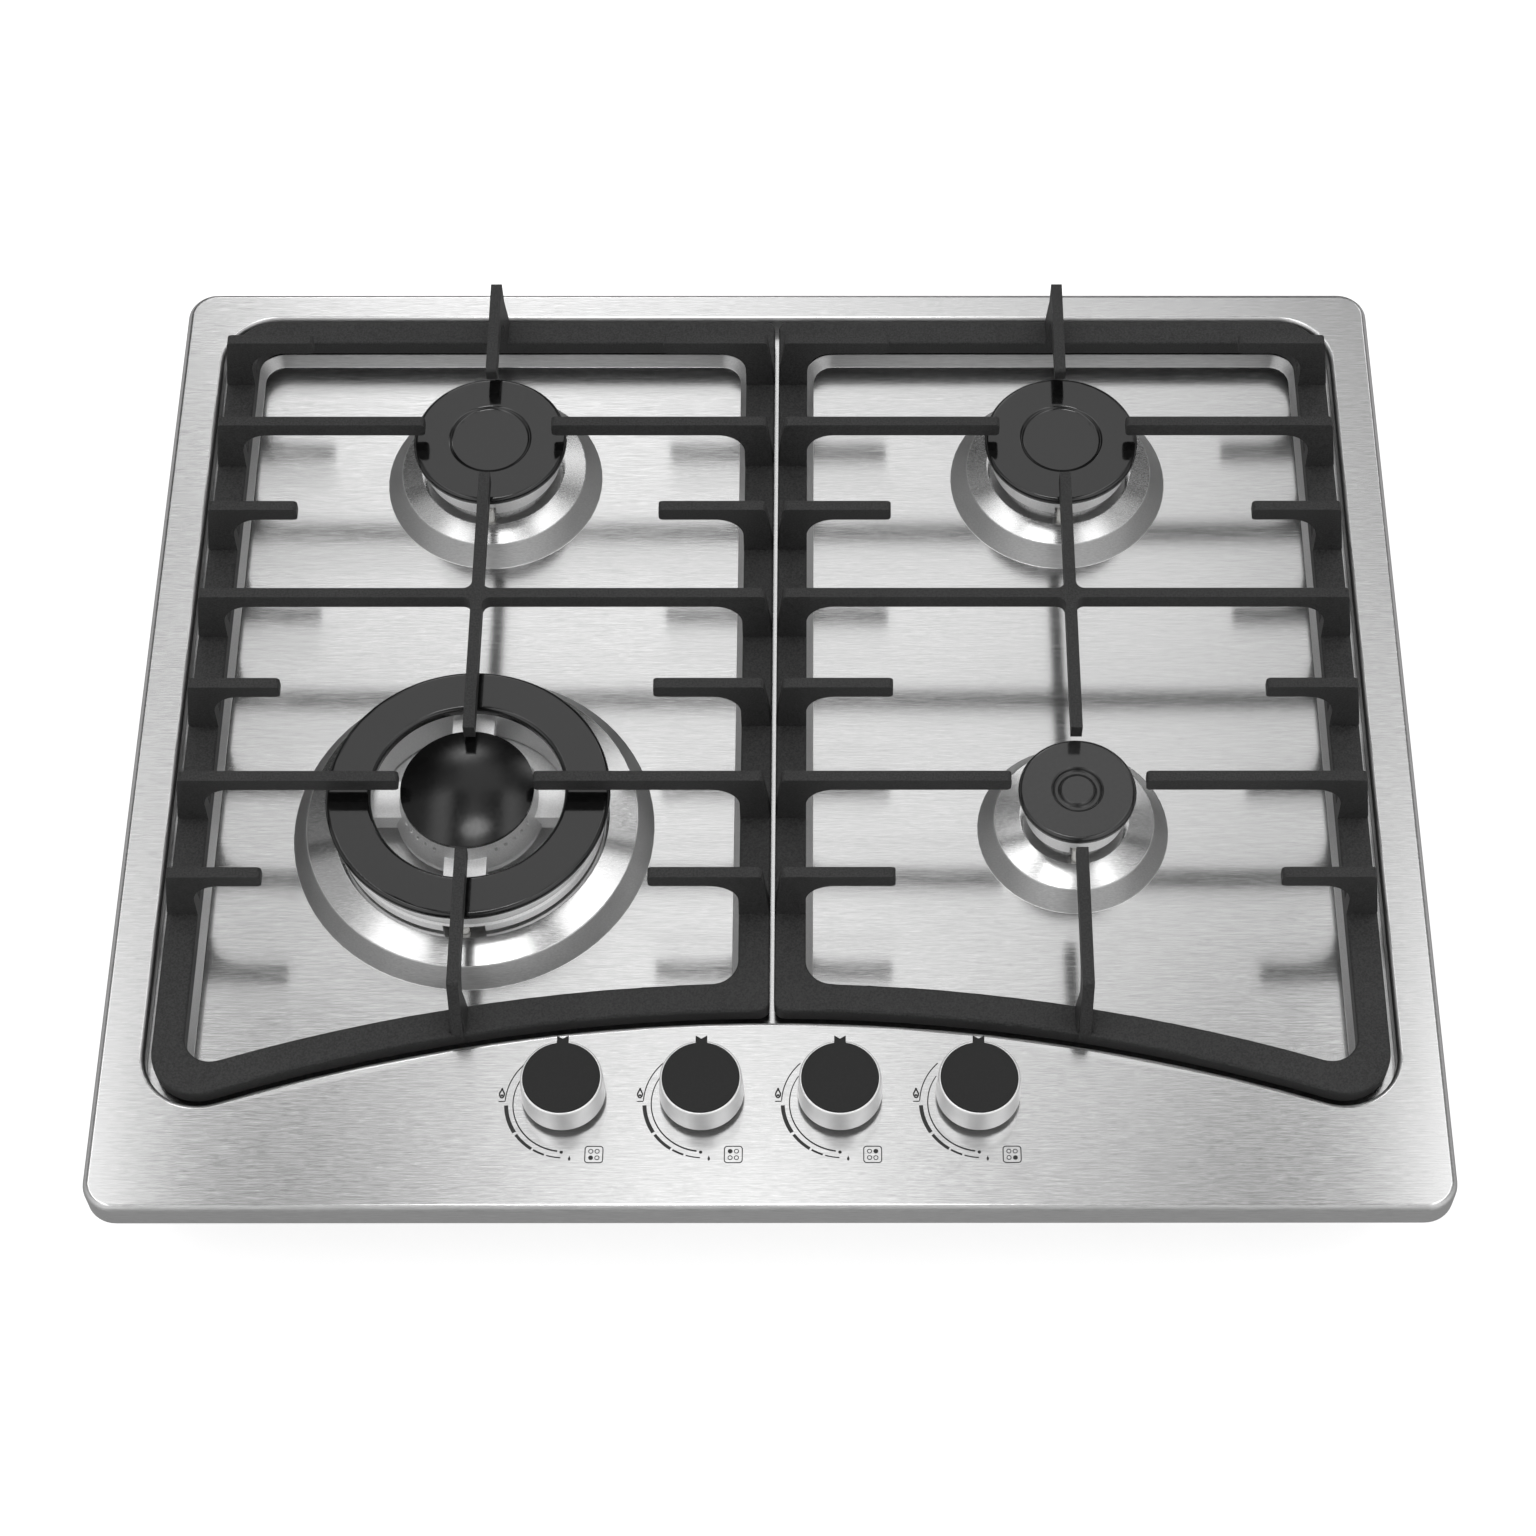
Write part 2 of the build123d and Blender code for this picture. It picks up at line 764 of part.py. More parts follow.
def crown_head(b):
    inner = large_ring_inner
    rim = b.head - 1
    floor_z = collar_top_z + head_floor
    spigot = b.bore - running_gap
    spigot_bottom_z = collar_top_z - spigot_depth + fit_gap
    crown_hole = crown_top_radius - crown_wall
    throat = pot_radius - pot_wall
    arm_z = b.wall_top_z - port_height
    with BuildPart() as head:
        add(turned(b.x, b.y, [
            (inner, spigot_bottom_z), (spigot, spigot_bottom_z), (spigot, collar_top_z),
            (b.head - skirt_wall, collar_top_z), (b.head - skirt_wall, b.head_bottom_z),
            (b.head, b.head_bottom_z), (b.head, collar_top_z), (rim, collar_top_z + 1), (rim, b.wall_top_z),
            (rim - ring_wall, b.wall_top_z), (rim - ring_wall, floor_z), (inner + ring_wall, floor_z),
            (inner + ring_wall, b.wall_top_z), (inner, b.wall_top_z)]))
        add(turned(b.x, b.y, [
            (throat - spigot_wall, spigot_bottom_z), (throat, spigot_bottom_z), (throat, collar_top_z),
            (crown_base_radius, collar_top_z), (crown_base_radius, floor_z),
            (crown_top_radius, b.crown_top_z), (crown_hole, b.crown_top_z), (crown_hole, floor_z),
            (throat - spigot_wall, floor_z)]))
        with BuildSketch(level(collar_top_z, b.x, b.y)):
            with PolarLocations(0, arm_count):
                with Locations((crown_top_radius, 0)):
                    Rectangle(inner + ring_wall / 2 - crown_top_radius, arm_width,
                              align=(Align.MIN, Align.CENTER))
        extrude(amount=arm_z - collar_top_z)
        with BuildSketch(level(floor_z, b.x, b.y)):
            Circle(crown_hole)
        extrude(amount=b.crown_top_z - floor_z, mode=Mode.SUBTRACT)
        add(slots(b, rim - ring_wall / 2, 2 * ring_wall), mode=Mode.SUBTRACT)
        add(slots(b, inner + ring_wall / 2, 2 * ring_wall), mode=Mode.SUBTRACT)
        add(crown_ports(b), mode=Mode.SUBTRACT)
        add(spark_cut(b), mode=Mode.SUBTRACT)
    return head.part


def crown_ports(b):
    # round flame ports through the sloping side of the crown, in the gaps between the arms
    port_z = b.crown_top_z - crown_port_drop
    with BuildPart() as ports:
        for i in range(arm_count * crown_ports_per_gap):
            gap, place = divmod(i, crown_ports_per_gap)
            angle = (gap + 0.5) * 360 / arm_count + (place - (crown_ports_per_gap - 1) / 2) * crown_port_step
            dx = cos(radians(angle))
            dy = sin(radians(angle))
            start = crown_top_radius - 2 * crown_wall
            add(rod(facing(b.x + start * dx, b.y + start * dy, port_z, dx, dy), crown_port,
                    2 * crown_wall + crown_base_radius - crown_top_radius))
    return ports.part


# ---- burner caps ----

def rounded_cap(b, points, rounds):
    # a turned cap with its outer edges rounded
    with BuildPart() as cap:
        with BuildSketch(upright(b.x, b.y)):
            with BuildLine():
                Polyline(*points, close=True)
            make_face()
            for place in rounds:
                fillet(near(*place), radius=cap_edge_round)
        revolve(axis=axis_at(b.x, b.y))
    return cap.part


def disc_cap(b, hollow):
    # a cap on the head's wall with a lip inside it and a sunk middle, given as (radius, depth) steps
    low = b.wall_top_z
    high = low + cap_thickness
    lip = b.head - head_wall - running_gap
    top = [(radius, high - depth) for radius, depth in hollow]
    return rounded_cap(
        b, [(0, low), (lip - cap_lip_wall, low), (lip - cap_lip_wall, low - cap_lip_depth),
            (lip, low - cap_lip_depth), (lip, low), (b.cap, low), (b.cap, high), *top],
        [(b.cap, low), (b.cap, high)])


medium_hollow = [(medium_recess, 0), (medium_recess - 1, medium_recess_depth),
                 (medium_plate + 1, medium_recess_depth), (medium_plate, medium_plate_depth),
                 (0, medium_plate_depth)]
small_hollow = [(small_recess, 0), (small_recess - 1, small_recess_depth),
                (small_button + 1, small_recess_depth), (small_button, small_button_depth),
                (0, small_button_depth)]

for b in burners:
    save(crown_head(b) if b.large else round_head(b), f"{b.name}_burner_head")
    if b.large:
        low = b.wall_top_z
        high = low + cap_thickness
        lip = b.head - 1 - ring_wall - running_gap
        save(rounded_cap(
            b, [(large_cap_inner, low), (lip - cap_lip_wall, low), (lip - cap_lip_wall, low - cap_lip_depth),
                (lip, low - cap_lip_depth), (lip, low), (b.cap, low), (b.cap, high), (large_cap_inner, high)],
            [(b.cap, low), (b.cap, high), (large_cap_inner, high)]), f"{b.name}_ring_cap")
        base = b.crown_top_z
        edge = base + dome_edge
        lip = crown_top_radius - crown_wall - running_gap
        sphere = (dome_radius ** 2 + dome_rise ** 2) / (2 * dome_rise)
        half_way = edge + dome_rise - sphere + sqrt(sphere ** 2 - (dome_radius / 2) ** 2)
        with BuildPart() as dome:
            with BuildSketch(upright(b.x, b.y)):
                with BuildLine():
                    Polyline((0, edge + dome_rise), (0, base), (lip - cap_lip_wall, base),
                             (lip - cap_lip_wall, base - cap_lip_depth), (lip, base - cap_lip_depth),
                             (lip, base), (dome_radius, base), (dome_radius, edge))
                    ThreePointArc((dome_radius, edge), (dome_radius / 2, half_way),
                                  (0, edge + dome_rise))
                make_face()
                fillet(near(dome_radius, base), radius=dome_edge / 3)
            revolve(axis=axis_at(b.x, b.y))
        save(dome.part, f"{b.name}_dome_cap")
    else:
        save(disc_cap(b, medium_hollow if b.head == medium_head else small_hollow), f"{b.name}_cap")


# ---- gas rail, inlet and valves ----

hex_y = tray_inner_y - inlet_hex_length
stub_y = hex_y - inlet_stub
rail_end_y = stub_y + inlet_grip
with BuildPart() as gas_rail:
    add(pipe([(-rail_start, rail_y, gas_line_z), (inlet_x, rail_y, gas_line_z),
              (inlet_x, rail_end_y, gas_line_z)], rail_bend, rail_radius, rail_radius - rail_wall))
    add(rod(facing(-rail_start, rail_y, gas_line_z, -1, 0), rail_radius, rail_wall))
    for x in knob_xs:
        add(rod(facing(x, rail_y, gas_line_z, 0, 1), rail_tap, rail_radius + hole_gap), mode=Mode.SUBTRACT)
save(gas_rail.part, "gas_rail")

with BuildPart() as gas_inlet:
    add(rod(facing(inlet_x, stub_y, gas_line_z, 0, 1), rail_radius + inlet_stub_wall, inlet_stub))
    with BuildSketch(facing(inlet_x, hex_y, gas_line_z, 0, 1)):
        RegularPolygon(inlet_hex / 2, 6, major_radius=False)
    extrude(amount=inlet_hex_length)
    add(rod(facing(inlet_x, tray_inner_y, gas_line_z, 0, 1), inlet_thread_radius - inlet_relief, tray_sheet))
    add(rod(facing(inlet_x, tray_inner_y + tray_sheet, gas_line_z, 0, 1), inlet_thread_radius, inlet_reach))
    add(rod(facing(inlet_x, stub_y, gas_line_z, 0, 1), rail_radius + fit_gap, inlet_grip),
        mode=Mode.SUBTRACT)
    add(rod(facing(inlet_x, stub_y, gas_line_z, 0, 1), inlet_bore,
            inlet_stub + inlet_hex_length + tray_sheet + inlet_reach), mode=Mode.SUBTRACT)
save(gas_inlet.part, "gas_inlet")


def clamp_screw_planes(x, y):
    return [facing(x, y, gas_line_z + lift, 0, 1) for lift in (-clamp_screw_place, clamp_screw_place)]


clamp_y = rail_y - clamp_depth
clamp_screw_length = clamp_depth + clamp_screw_grip
with BuildPart() as valve_bodies:
    for x in knob_xs:
        add(rod(level(valve_floor_z, x, knob_y), valve_radius, bonnet_z - valve_floor_z))
        with BuildSketch(facing(x, rail_y, gas_line_z, 0, 1)):
            Rectangle(2 * clamp_half_width, 2 * clamp_half_height)
        extrude(amount=rail_offset)
        add(rod(facing(x, knob_y, gas_line_z, 0, 1), boss_radius, valve_radius + outlet_reach))
        add(rod(facing(x - valve_radius, rail_y, gas_line_z, 1, 0), rail_radius + fit_gap, 2 * valve_radius),
            mode=Mode.SUBTRACT)
        add(rod(facing(x, rail_y, gas_line_z, 0, 1), gas_bore, rail_offset + valve_radius + outlet_reach),
            mode=Mode.SUBTRACT)
        add(rod(level(plug_floor_z, x, knob_y), plug_radius + fit_gap, bonnet_z - plug_floor_z),
            mode=Mode.SUBTRACT)
        for plane in clamp_screw_planes(x, rail_y):
            add(rod(plane, screw_radius + fit_gap, clamp_screw_grip), mode=Mode.SUBTRACT)
        for side in (-1, 1):
            add(rod(level(bonnet_z - bonnet_screw_length, x + side * bonnet_screw_place, knob_y),
                    bonnet_screw_radius + fit_gap, bonnet_screw_length), mode=Mode.SUBTRACT)
save(valve_bodies.part, "valve_bodies")

with BuildPart() as rail_clamps:
    for x in knob_xs:
        with BuildSketch(facing(x, clamp_y, gas_line_z, 0, 1)):
            Rectangle(2 * clamp_half_width, 2 * clamp_half_height)
        extrude(amount=clamp_depth)
        add(rod(facing(x - valve_radius, rail_y, gas_line_z, 1, 0), rail_radius + fit_gap, 2 * valve_radius),
            mode=Mode.SUBTRACT)
        for plane in clamp_screw_planes(x, clamp_y):
            add(rod(plane, screw_radius + fit_gap, clamp_depth), mode=Mode.SUBTRACT)
save(rail_clamps.part, "rail_clamps")

with BuildPart() as clamp_screws:
    for x in knob_xs:
        for plane in clamp_screw_planes(x, clamp_y - screw_head_height):
            add(rod(plane, screw_head_radius, screw_head_height))
            add(rod(plane, screw_radius, screw_head_height + clamp_screw_length))
save(clamp_screws.part, "clamp_screws")

plate_top_z = bonnet_z + bonnet_plate
with BuildPart() as valve_bonnets:
    for x in knob_xs:
        add(rod(level(bonnet_z, x, knob_y), valve_radius, bonnet_plate))
        add(rod(level(bonnet_z, x, knob_y), neck_radius, neck_top_z - bonnet_z))
        add(rod(level(bonnet_z, x, knob_y), neck_bore, neck_top_z - neck_cover - bonnet_z),
            mode=Mode.SUBTRACT)
        add(rod(level(bonnet_z, x, knob_y), stem_radius + fit_gap, neck_top_z - bonnet_z),
            mode=Mode.SUBTRACT)
        for side in (-1, 1):
            add(rod(level(bonnet_z, x + side * bonnet_screw_place, knob_y),
                    bonnet_screw_radius + fit_gap, bonnet_plate), mode=Mode.SUBTRACT)
save(valve_bonnets.part, "valve_bonnets")

with BuildPart() as bonnet_screws:
    for x in knob_xs:
        for side in (-1, 1):
            place = x + side * bonnet_screw_place
            add(rod(level(plate_top_z, place, knob_y), bonnet_screw_head, screw_head_height))
            add(rod(level(bonnet_z - bonnet_screw_length, place, knob_y), bonnet_screw_radius,
                    bonnet_screw_length + bonnet_plate))
save(bonnet_screws.part, "bonnet_screws")

switch_z = plate_top_z + screw_head_height + thread_gap
with BuildPart() as ignition_switches:
    for x in knob_xs:
        with BuildSketch(level(switch_z, x, knob_y)):
            Rectangle(switch_width, switch_depth)
            Circle(neck_radius + fit_gap, mode=Mode.SUBTRACT)
        extrude(amount=switch_height)
save(ignition_switches.part, "ignition_switches")


# ---- gas tubes and nuts ----

def tube_routes():
    # from each valve outlet to its burner cup's boss
    by_name = {b.name: b for b in burners}
    routes = []
    for x, name in zip(knob_xs, knob_order):
        b = by_name[name]
        boss_x = b.x - b.side * boss_end
        run_x = b.side * front_tube_x if abs(x) > knob_spacing else x
        points = [(x, valve_outlet_y)]
        if run_x != x:
            points += [(x, valve_outlet_y + front_tube_jog), (run_x, valve_outlet_y + 2 * front_tube_jog)]
        points += [(run_x, b.y), (boss_x, b.y)]
        routes.append([(px, py, gas_line_z) for px, py in points])
    return routes


def nut(plane):
    # a union nut over a boss that ends at the plane, with the tube passing through its cover
    with BuildPart() as piece:
        with BuildSketch(plane.offset(nut_cover - nut_length)):
            RegularPolygon(nut_flats / 2, 6, major_radius=False)
            Circle(boss_radius + fit_gap, mode=Mode.SUBTRACT)
        extrude(amount=nut_length - nut_cover)
        with BuildSketch(plane):
            RegularPolygon(nut_flats / 2, 6, major_radius=False)
            Circle(tube_radius + fit_gap, mode=Mode.SUBTRACT)
        extrude(amount=nut_cover)
    return piece.part


with BuildPart() as gas_tubes:
    for route in tube_routes():
        add(pipe(route, tube_bend, tube_radius, tube_radius - tube_wall))
save(gas_tubes.part, "gas_tubes")

with BuildPart() as tube_nuts:
    for x in knob_xs:
        add(nut(facing(x, valve_outlet_y, gas_line_z, 0, 1)))
    for b in burners:
        add(nut(facing(b.x - b.side * boss_end, b.y, gas_line_z, -b.side, 0)))
save(tube_nuts.part, "tube_nuts")


# ---- ignition and supply gland ----

terminal_xs = [terminal_pitch * (i - 1.5) for i in range(4)]
generator_front_y = generator_y - generator_depth / 2
with BuildPart() as spark_generator:
    with BuildSketch(level(tray_sheet, 0, generator_y)):
        Rectangle(generator_length, generator_depth)
    extrude(amount=generator_height)
    fillet(edges().filter_by(Axis.Z), radius=generator_round)
    with BuildSketch(level(tray_sheet, 0, generator_y)):
        Rectangle(generator_length + 2 * generator_ear, generator_ear)
        with Locations((-generator_screw_x, 0), (generator_screw_x, 0)):
            Circle(bracket_screw_radius + fit_gap, mode=Mode.SUBTRACT)
    extrude(amount=generator_ear_height)
    for x in terminal_xs:
        add(rod(facing(x, generator_front_y, lead_z, 0, -1), terminal_radius, terminal_length))
save(spark_generator.part, "spark_generator")

harness_z = switch_z + switch_height / 2
switch_edge = switch_width / 2
with BuildPart() as ignition_wiring:
    order = ("rear_left", "front_left", "front_right", "rear_right")
    for x, name in zip(terminal_xs, order):
        b = next(one for one in burners if one.name == name)
        add(pipe([(x, generator_front_y - terminal_length, lead_z), (x, b.spark_y, lead_z),
                  (b.x, b.spark_y, lead_z), (b.x, b.spark_y, spark_foot_z)], lead_bend, lead_radius, 0))
    for x in knob_xs[:-1]:
        add(rod(facing(x + switch_edge, knob_y, harness_z, 1, 0), harness_radius,
                knob_spacing - switch_width))
    add(pipe([(knob_xs[0] - switch_edge, knob_y, harness_z), (harness_x, knob_y, harness_z),
              (harness_x, knob_y, lead_z), (harness_x, generator_y, lead_z),
              (-generator_length / 2, generator_y, lead_z)], lead_bend, harness_radius, 0))
save(ignition_wiring.part, "ignition_wiring")

# a wide passage through the wall, then a grip that closes on the cord
gland_start_y = tray_inner_y - gland_inside
gland_passage_length = gland_inside + tray_sheet + gland_rim
with BuildPart() as cable_gland:
    add(rod(facing(gland_x, gland_start_y, gas_line_z, 0, 1), gland_neck, gland_passage_length + gland_grip))
    add(rod(facing(gland_x, tray_inner_y, gas_line_z, 0, -1), gland_flange, gland_rim))
    add(rod(facing(gland_x, tray_inner_y + tray_sheet, gas_line_z, 0, 1), gland_flange, gland_rim))
    add(rod(facing(gland_x, gland_start_y, gas_line_z, 0, 1), gland_passage, gland_passage_length),
        mode=Mode.SUBTRACT)
    add(rod(facing(gland_x, gland_start_y, gas_line_z, 0, 1), gland_bore, gland_passage_length + gland_grip),
        mode=Mode.SUBTRACT)
save(cable_gland.part, "cable_gland")

with BuildPart() as knob_seals:
    for x in knob_xs:
        with BuildSketch(level(rim_z, x, knob_y)):
            Circle(seal_ring_radius)
            Circle(seal_ring_bore, mode=Mode.SUBTRACT)
        extrude(amount=seal_ring_height)
save(knob_seals.part, "knob_seals")


# ---- valve plugs, stems, springs and knobs ----

socket_z = stem_bottom_z - knob_push - stem_play


def d_section(radius, flat):
    # a round section with a flat on its back
    with BuildSketch() as section:
        Circle(radius)
        with Locations((0, flat)):
            Rectangle(2 * radius, 2 * radius, align=(Align.CENTER, Align.MIN), mode=Mode.SUBTRACT)
    return section.sketch


def d_bar(x, low, high, gap):
    with BuildPart() as bar:
        with BuildSketch(level(low, x, knob_y)):
            add(d_section(stem_radius + gap, stem_flat + gap))
        extrude(amount=high - low)
    return bar.part


for x, name in zip(knob_xs, knob_order):
    with BuildPart() as valve_plug:
        add(rod(level(plug_low_z, x, knob_y), plug_radius, plug_top_z - plug_low_z))
        add(rod(facing(x - plug_radius, knob_y, gas_line_z, 1, 0), plug_passage, 2 * plug_radius),
            mode=Mode.SUBTRACT)
        add(d_bar(x, socket_z, plug_top_z, fit_gap), mode=Mode.SUBTRACT)
    save(valve_plug.part, f"{name}_valve_plug")

    with BuildPart() as valve_spring:
        with BuildSketch(level(plug_top_z, x, knob_y)):
            Circle(stem_radius + hole_gap + spring_wall)
            Circle(stem_radius + hole_gap, mode=Mode.SUBTRACT)
        extrude(amount=spring_height)
    save(valve_spring.part, f"{name}_valve_spring")

    with BuildPart() as valve_stem:
        add(d_bar(x, stem_bottom_z, plug_top_z + stem_gap, 0))
        add(rod(level(plug_top_z + stem_gap, x, knob_y), stem_radius, knob_hub_z - plug_top_z - stem_gap))
        add(d_bar(x, knob_hub_z, stem_top_z, 0))
        add(rod(level(stem_collar_z, x, knob_y), collar_radius, collar_height))
    save(valve_stem.part, f"{name}_valve_stem")

    with BuildPart() as knob:
        with BuildSketch(upright(x, knob_y)):
            with BuildLine():
                Polyline((0, knob_top_z), (knob_top_radius, knob_top_z), (knob_radius, knob_bottom_z),
                         (0, knob_bottom_z), close=True)
            make_face()
            fillet(near(knob_top_radius, knob_top_z), radius=knob_bevel)
        revolve(axis=axis_at(x, knob_y))
        with BuildSketch(level(knob_bottom_z, x, knob_y)):
            Circle(knob_radius - knob_shell)
        extrude(amount=disc_z - knob_web - knob_bottom_z, mode=Mode.SUBTRACT)
        with BuildSketch(level(disc_z, x, knob_y)):
            Circle(disc_radius + fit_gap)
            Rectangle(pointer_width + 2 * fit_gap, 2 * knob_radius, align=(Align.CENTER, Align.MIN))
        extrude(amount=2 * disc_thickness, mode=Mode.SUBTRACT)
        add(rod(level(knob_hub_z, x, knob_y), hub_radius, disc_z - knob_web - knob_hub_z))
        add(d_bar(x, knob_hub_z, stem_top_z + fit_gap, fit_gap), mode=Mode.SUBTRACT)
    save(knob.part, f"{name}_knob")

    with BuildPart() as knob_disc:
        with BuildSketch(level(disc_z, x, knob_y)):
            Circle(disc_radius)
            with BuildLine():
                Polyline((-pointer_width / 2, 0), (pointer_width / 2, 0), (pointer_width / 2, pointer_end),
                         (0, pointer_end - pointer_notch), (-pointer_width / 2, pointer_end), close=True)
            make_face()
        extrude(amount=disc_thickness)
    save(knob_disc.part, f"{name}_knob_disc")


# ---- grates ----

def finger(x, y, dx, dy, base_outer, base_inner, top_end, tip):
    # an upright post on a bar and a blade that reaches inwards; distances run outwards from (x, y)
    plane = upright(x, y, dx, dy)
    foot_z = bar_bottom_z + bar_round
    with BuildPart() as piece:
        with BuildSketch(plane):
            with BuildLine():
                Polyline((base_inner, foot_z), (base_outer, foot_z), (base_outer, bar_top_z),
                         (top_end, finger_top_z), (tip, finger_top_z), (tip, finger_under_z),
                         (base_inner, finger_under_z), close=True)
            make_face()
            fillet(near(base_inner, finger_under_z), radius=finger_fillet)
            fillet(near(top_end, finger_top_z), radius=finger_round)
            fillet(near(tip, finger_top_z), radius=finger_round)
            fillet(near(tip, finger_under_z), radius=finger_round)
        extrude(amount=finger_thickness / 2, both=True)
        with BuildSketch(level(foot_z)):
            add(post_section(x, y, dx, dy, base_outer, base_inner, post_foot))
        with BuildSketch(level(bar_top_z + post_flare)):
            outer = base_outer - (base_outer - top_end) * post_flare / finger_rise
            add(post_section(x, y, dx, dy, outer, base_inner, finger_thickness))
        loft()
    return piece.part


def post_section(x, y, dx, dy, outer, inner, thickness):
    middle = (outer + inner) / 2
    with BuildSketch() as section:
        with Locations((x + middle * dx, y + middle * dy)):
            if dx:
                Rectangle(outer - inner, thickness)
            else:
                Rectangle(thickness, outer - inner)
    return section.sketch


def grate(side):
    outer_edge = well_width / 2 - frame_gap
    inner_edge = grate_gap / 2
    back_edge = well_back - frame_gap
    front_edge = -arch_y(burner_x, frame_gap)
    cross_y = burner_front_y + cross_row * finger_pitch
    with BuildPart() as casting:
        with BuildSketch(level(bar_bottom_z)):
            add(bay_outline(side, frame_gap, inner_edge, frame_rear_corner, frame_outer_corner,
                            frame_inner_corner))
            add(bay_outline(side, frame_gap + bar_width, inner_edge + bar_width, window_corner,
                            window_corner, window_corner), mode=Mode.SUBTRACT)
        extrude(amount=bar_height)
        fillet(edges().group_by(Axis.Z)[-1], radius=bar_round)
        for row in range(first_row, last_row + 1):
            y = burner_front_y + row * finger_pitch
            reach_outer = short_tip_outer
            reach_inner = short_tip_inner
            if row in (front_burner_row, rear_burner_row):
                reach_outer = burner_x + tip_reach
                reach_inner = burner_x - tip_reach
            if row == cross_row:
                reach_outer = burner_x - finger_thickness
                reach_inner = burner_x + finger_thickness
            add(finger(0, y, side, 0, outer_edge, outer_edge - bar_width, outer_edge - finger_lean,
                       reach_outer))
            add(finger(0, y, -side, 0, -inner_edge, -inner_edge - bar_width,
                       -inner_edge - inner_finger_lean, -reach_inner))
        add(finger(side * burner_x, 0, 0, 1, back_edge, back_edge - bar_width,
                   back_edge - rear_finger_lean, burner_rear_y + tip_reach))
        add(finger(side * burner_x, 0, 0, -1, front_edge, front_edge - bar_width,
                   front_edge - front_finger_lean, -front_finger_tip))
        with BuildSketch(level(finger_under_z, side * burner_x, 0)):
            with Locations((0, (burner_rear_y - tip_reach + middle_bar_front) / 2)):
                Rectangle(finger_thickness, burner_rear_y - tip_reach - middle_bar_front)
            with Locations((0, cross_y)):
                Rectangle(2 * hub_arm + finger_thickness, finger_thickness)
            for dx in (-1, 1):
                for dy in (-1, 1):
                    fillet(near(dx * finger_thickness / 2, cross_y + dy * finger_thickness / 2),
                           radius=hub_round)
        extrude(amount=finger_depth)
        with BuildSketch(level(bar_bottom_z)):
            with Locations(*foot_places(side)):
                Circle(foot_stem_radius + fit_gap)
        extrude(amount=foot_stem + fit_gap, mode=Mode.SUBTRACT)
    return casting.part


def foot_places(side):
    outer_bar = well_width / 2 - frame_gap - bar_width / 2
    inner_bar = (grate_gap + bar_width) / 2
    return [(side * x, y) for x in (inner_bar, outer_bar) for y in (foot_front_y, foot_rear_y)]


for side, name in ((-1, "left"), (1, "right")):
    save(grate(side), f"{name}_grate")
    with BuildPart() as grate_feet:
        for x, y in foot_places(side):
            add(rod(level(ledge_z, x, y), foot_radius, foot_height))
            add(rod(level(ledge_z, x, y), foot_stem_radius, foot_height + foot_stem))
    save(grate_feet.part, f"{name}_grate_feet")
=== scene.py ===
import json
import math
import bmesh
import bpy
from mathutils import Matrix, Vector


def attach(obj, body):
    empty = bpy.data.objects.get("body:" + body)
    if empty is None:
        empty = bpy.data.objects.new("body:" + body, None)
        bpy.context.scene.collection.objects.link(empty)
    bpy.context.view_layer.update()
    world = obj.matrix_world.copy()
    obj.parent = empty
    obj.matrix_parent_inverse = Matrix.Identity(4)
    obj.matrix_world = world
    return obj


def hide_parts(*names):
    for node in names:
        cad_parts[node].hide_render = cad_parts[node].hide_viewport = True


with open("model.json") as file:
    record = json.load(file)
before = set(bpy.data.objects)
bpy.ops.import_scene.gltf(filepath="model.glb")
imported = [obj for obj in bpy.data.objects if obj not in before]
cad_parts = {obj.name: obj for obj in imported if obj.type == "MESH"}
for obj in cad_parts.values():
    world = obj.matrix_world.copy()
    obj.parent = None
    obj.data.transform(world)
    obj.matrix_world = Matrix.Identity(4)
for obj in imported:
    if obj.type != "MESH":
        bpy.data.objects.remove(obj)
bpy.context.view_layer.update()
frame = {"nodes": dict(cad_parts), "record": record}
millimetre = 0.001


# camera

cameraView = {
    "place": (0.02231, -0.83895, 1.39172),
    "pitch": 58.708, "yaw": 0.18, "roll": 0.132,
    "lens": 79.37, "sensor": 36.0, "shiftX": -0.03882, "reach": 20,
}


def makeCamera():
    lens = bpy.data.cameras.new("hobCamera")
    lens.lens = cameraView["lens"]
    lens.sensor_width = cameraView["sensor"]
    lens.shift_x = cameraView["shiftX"]
    lens.clip_end = cameraView["reach"]
    camera = bpy.data.objects.new("hobCamera", lens)
    pitch, yaw, roll = (math.radians(cameraView[key]) for key in ("pitch", "yaw", "roll"))
    forward = Vector((math.sin(yaw) * math.cos(pitch), math.cos(yaw) * math.cos(pitch), -math.sin(pitch)))
    level = Vector((math.cos(yaw), -math.sin(yaw), 0))
    up = level.cross(forward)
    right = math.cos(roll) * level + math.sin(roll) * up
    top = math.cos(roll) * up - math.sin(roll) * level
    turn = Matrix((right, top, -forward)).transposed()
    camera.matrix_world = Matrix.Translation(cameraView["place"]) @ turn.to_4x4()
    bpy.context.scene.collection.objects.link(camera)
    bpy.context.scene.camera = camera


# node helpers

def addNode(tree, kind, fixed=(), **settings):
    node = tree.nodes.new(kind)
    for key, value in settings.items():
        setattr(node, key, value)
    for socket, value in fixed:
        node.inputs[socket].default_value = value
    return node


def feed(tree, socket, value):
    # a plain number, or a link from another node
    if isinstance(value, (int, float)):
        socket.default_value = value
    else:
        tree.links.new(value, socket)


def maths(tree, operation, *values):
    node = addNode(tree, "ShaderNodeMath", operation=operation)
    for socket, value in zip(node.inputs, values):
        feed(tree, socket, value)
    return node.outputs[0]


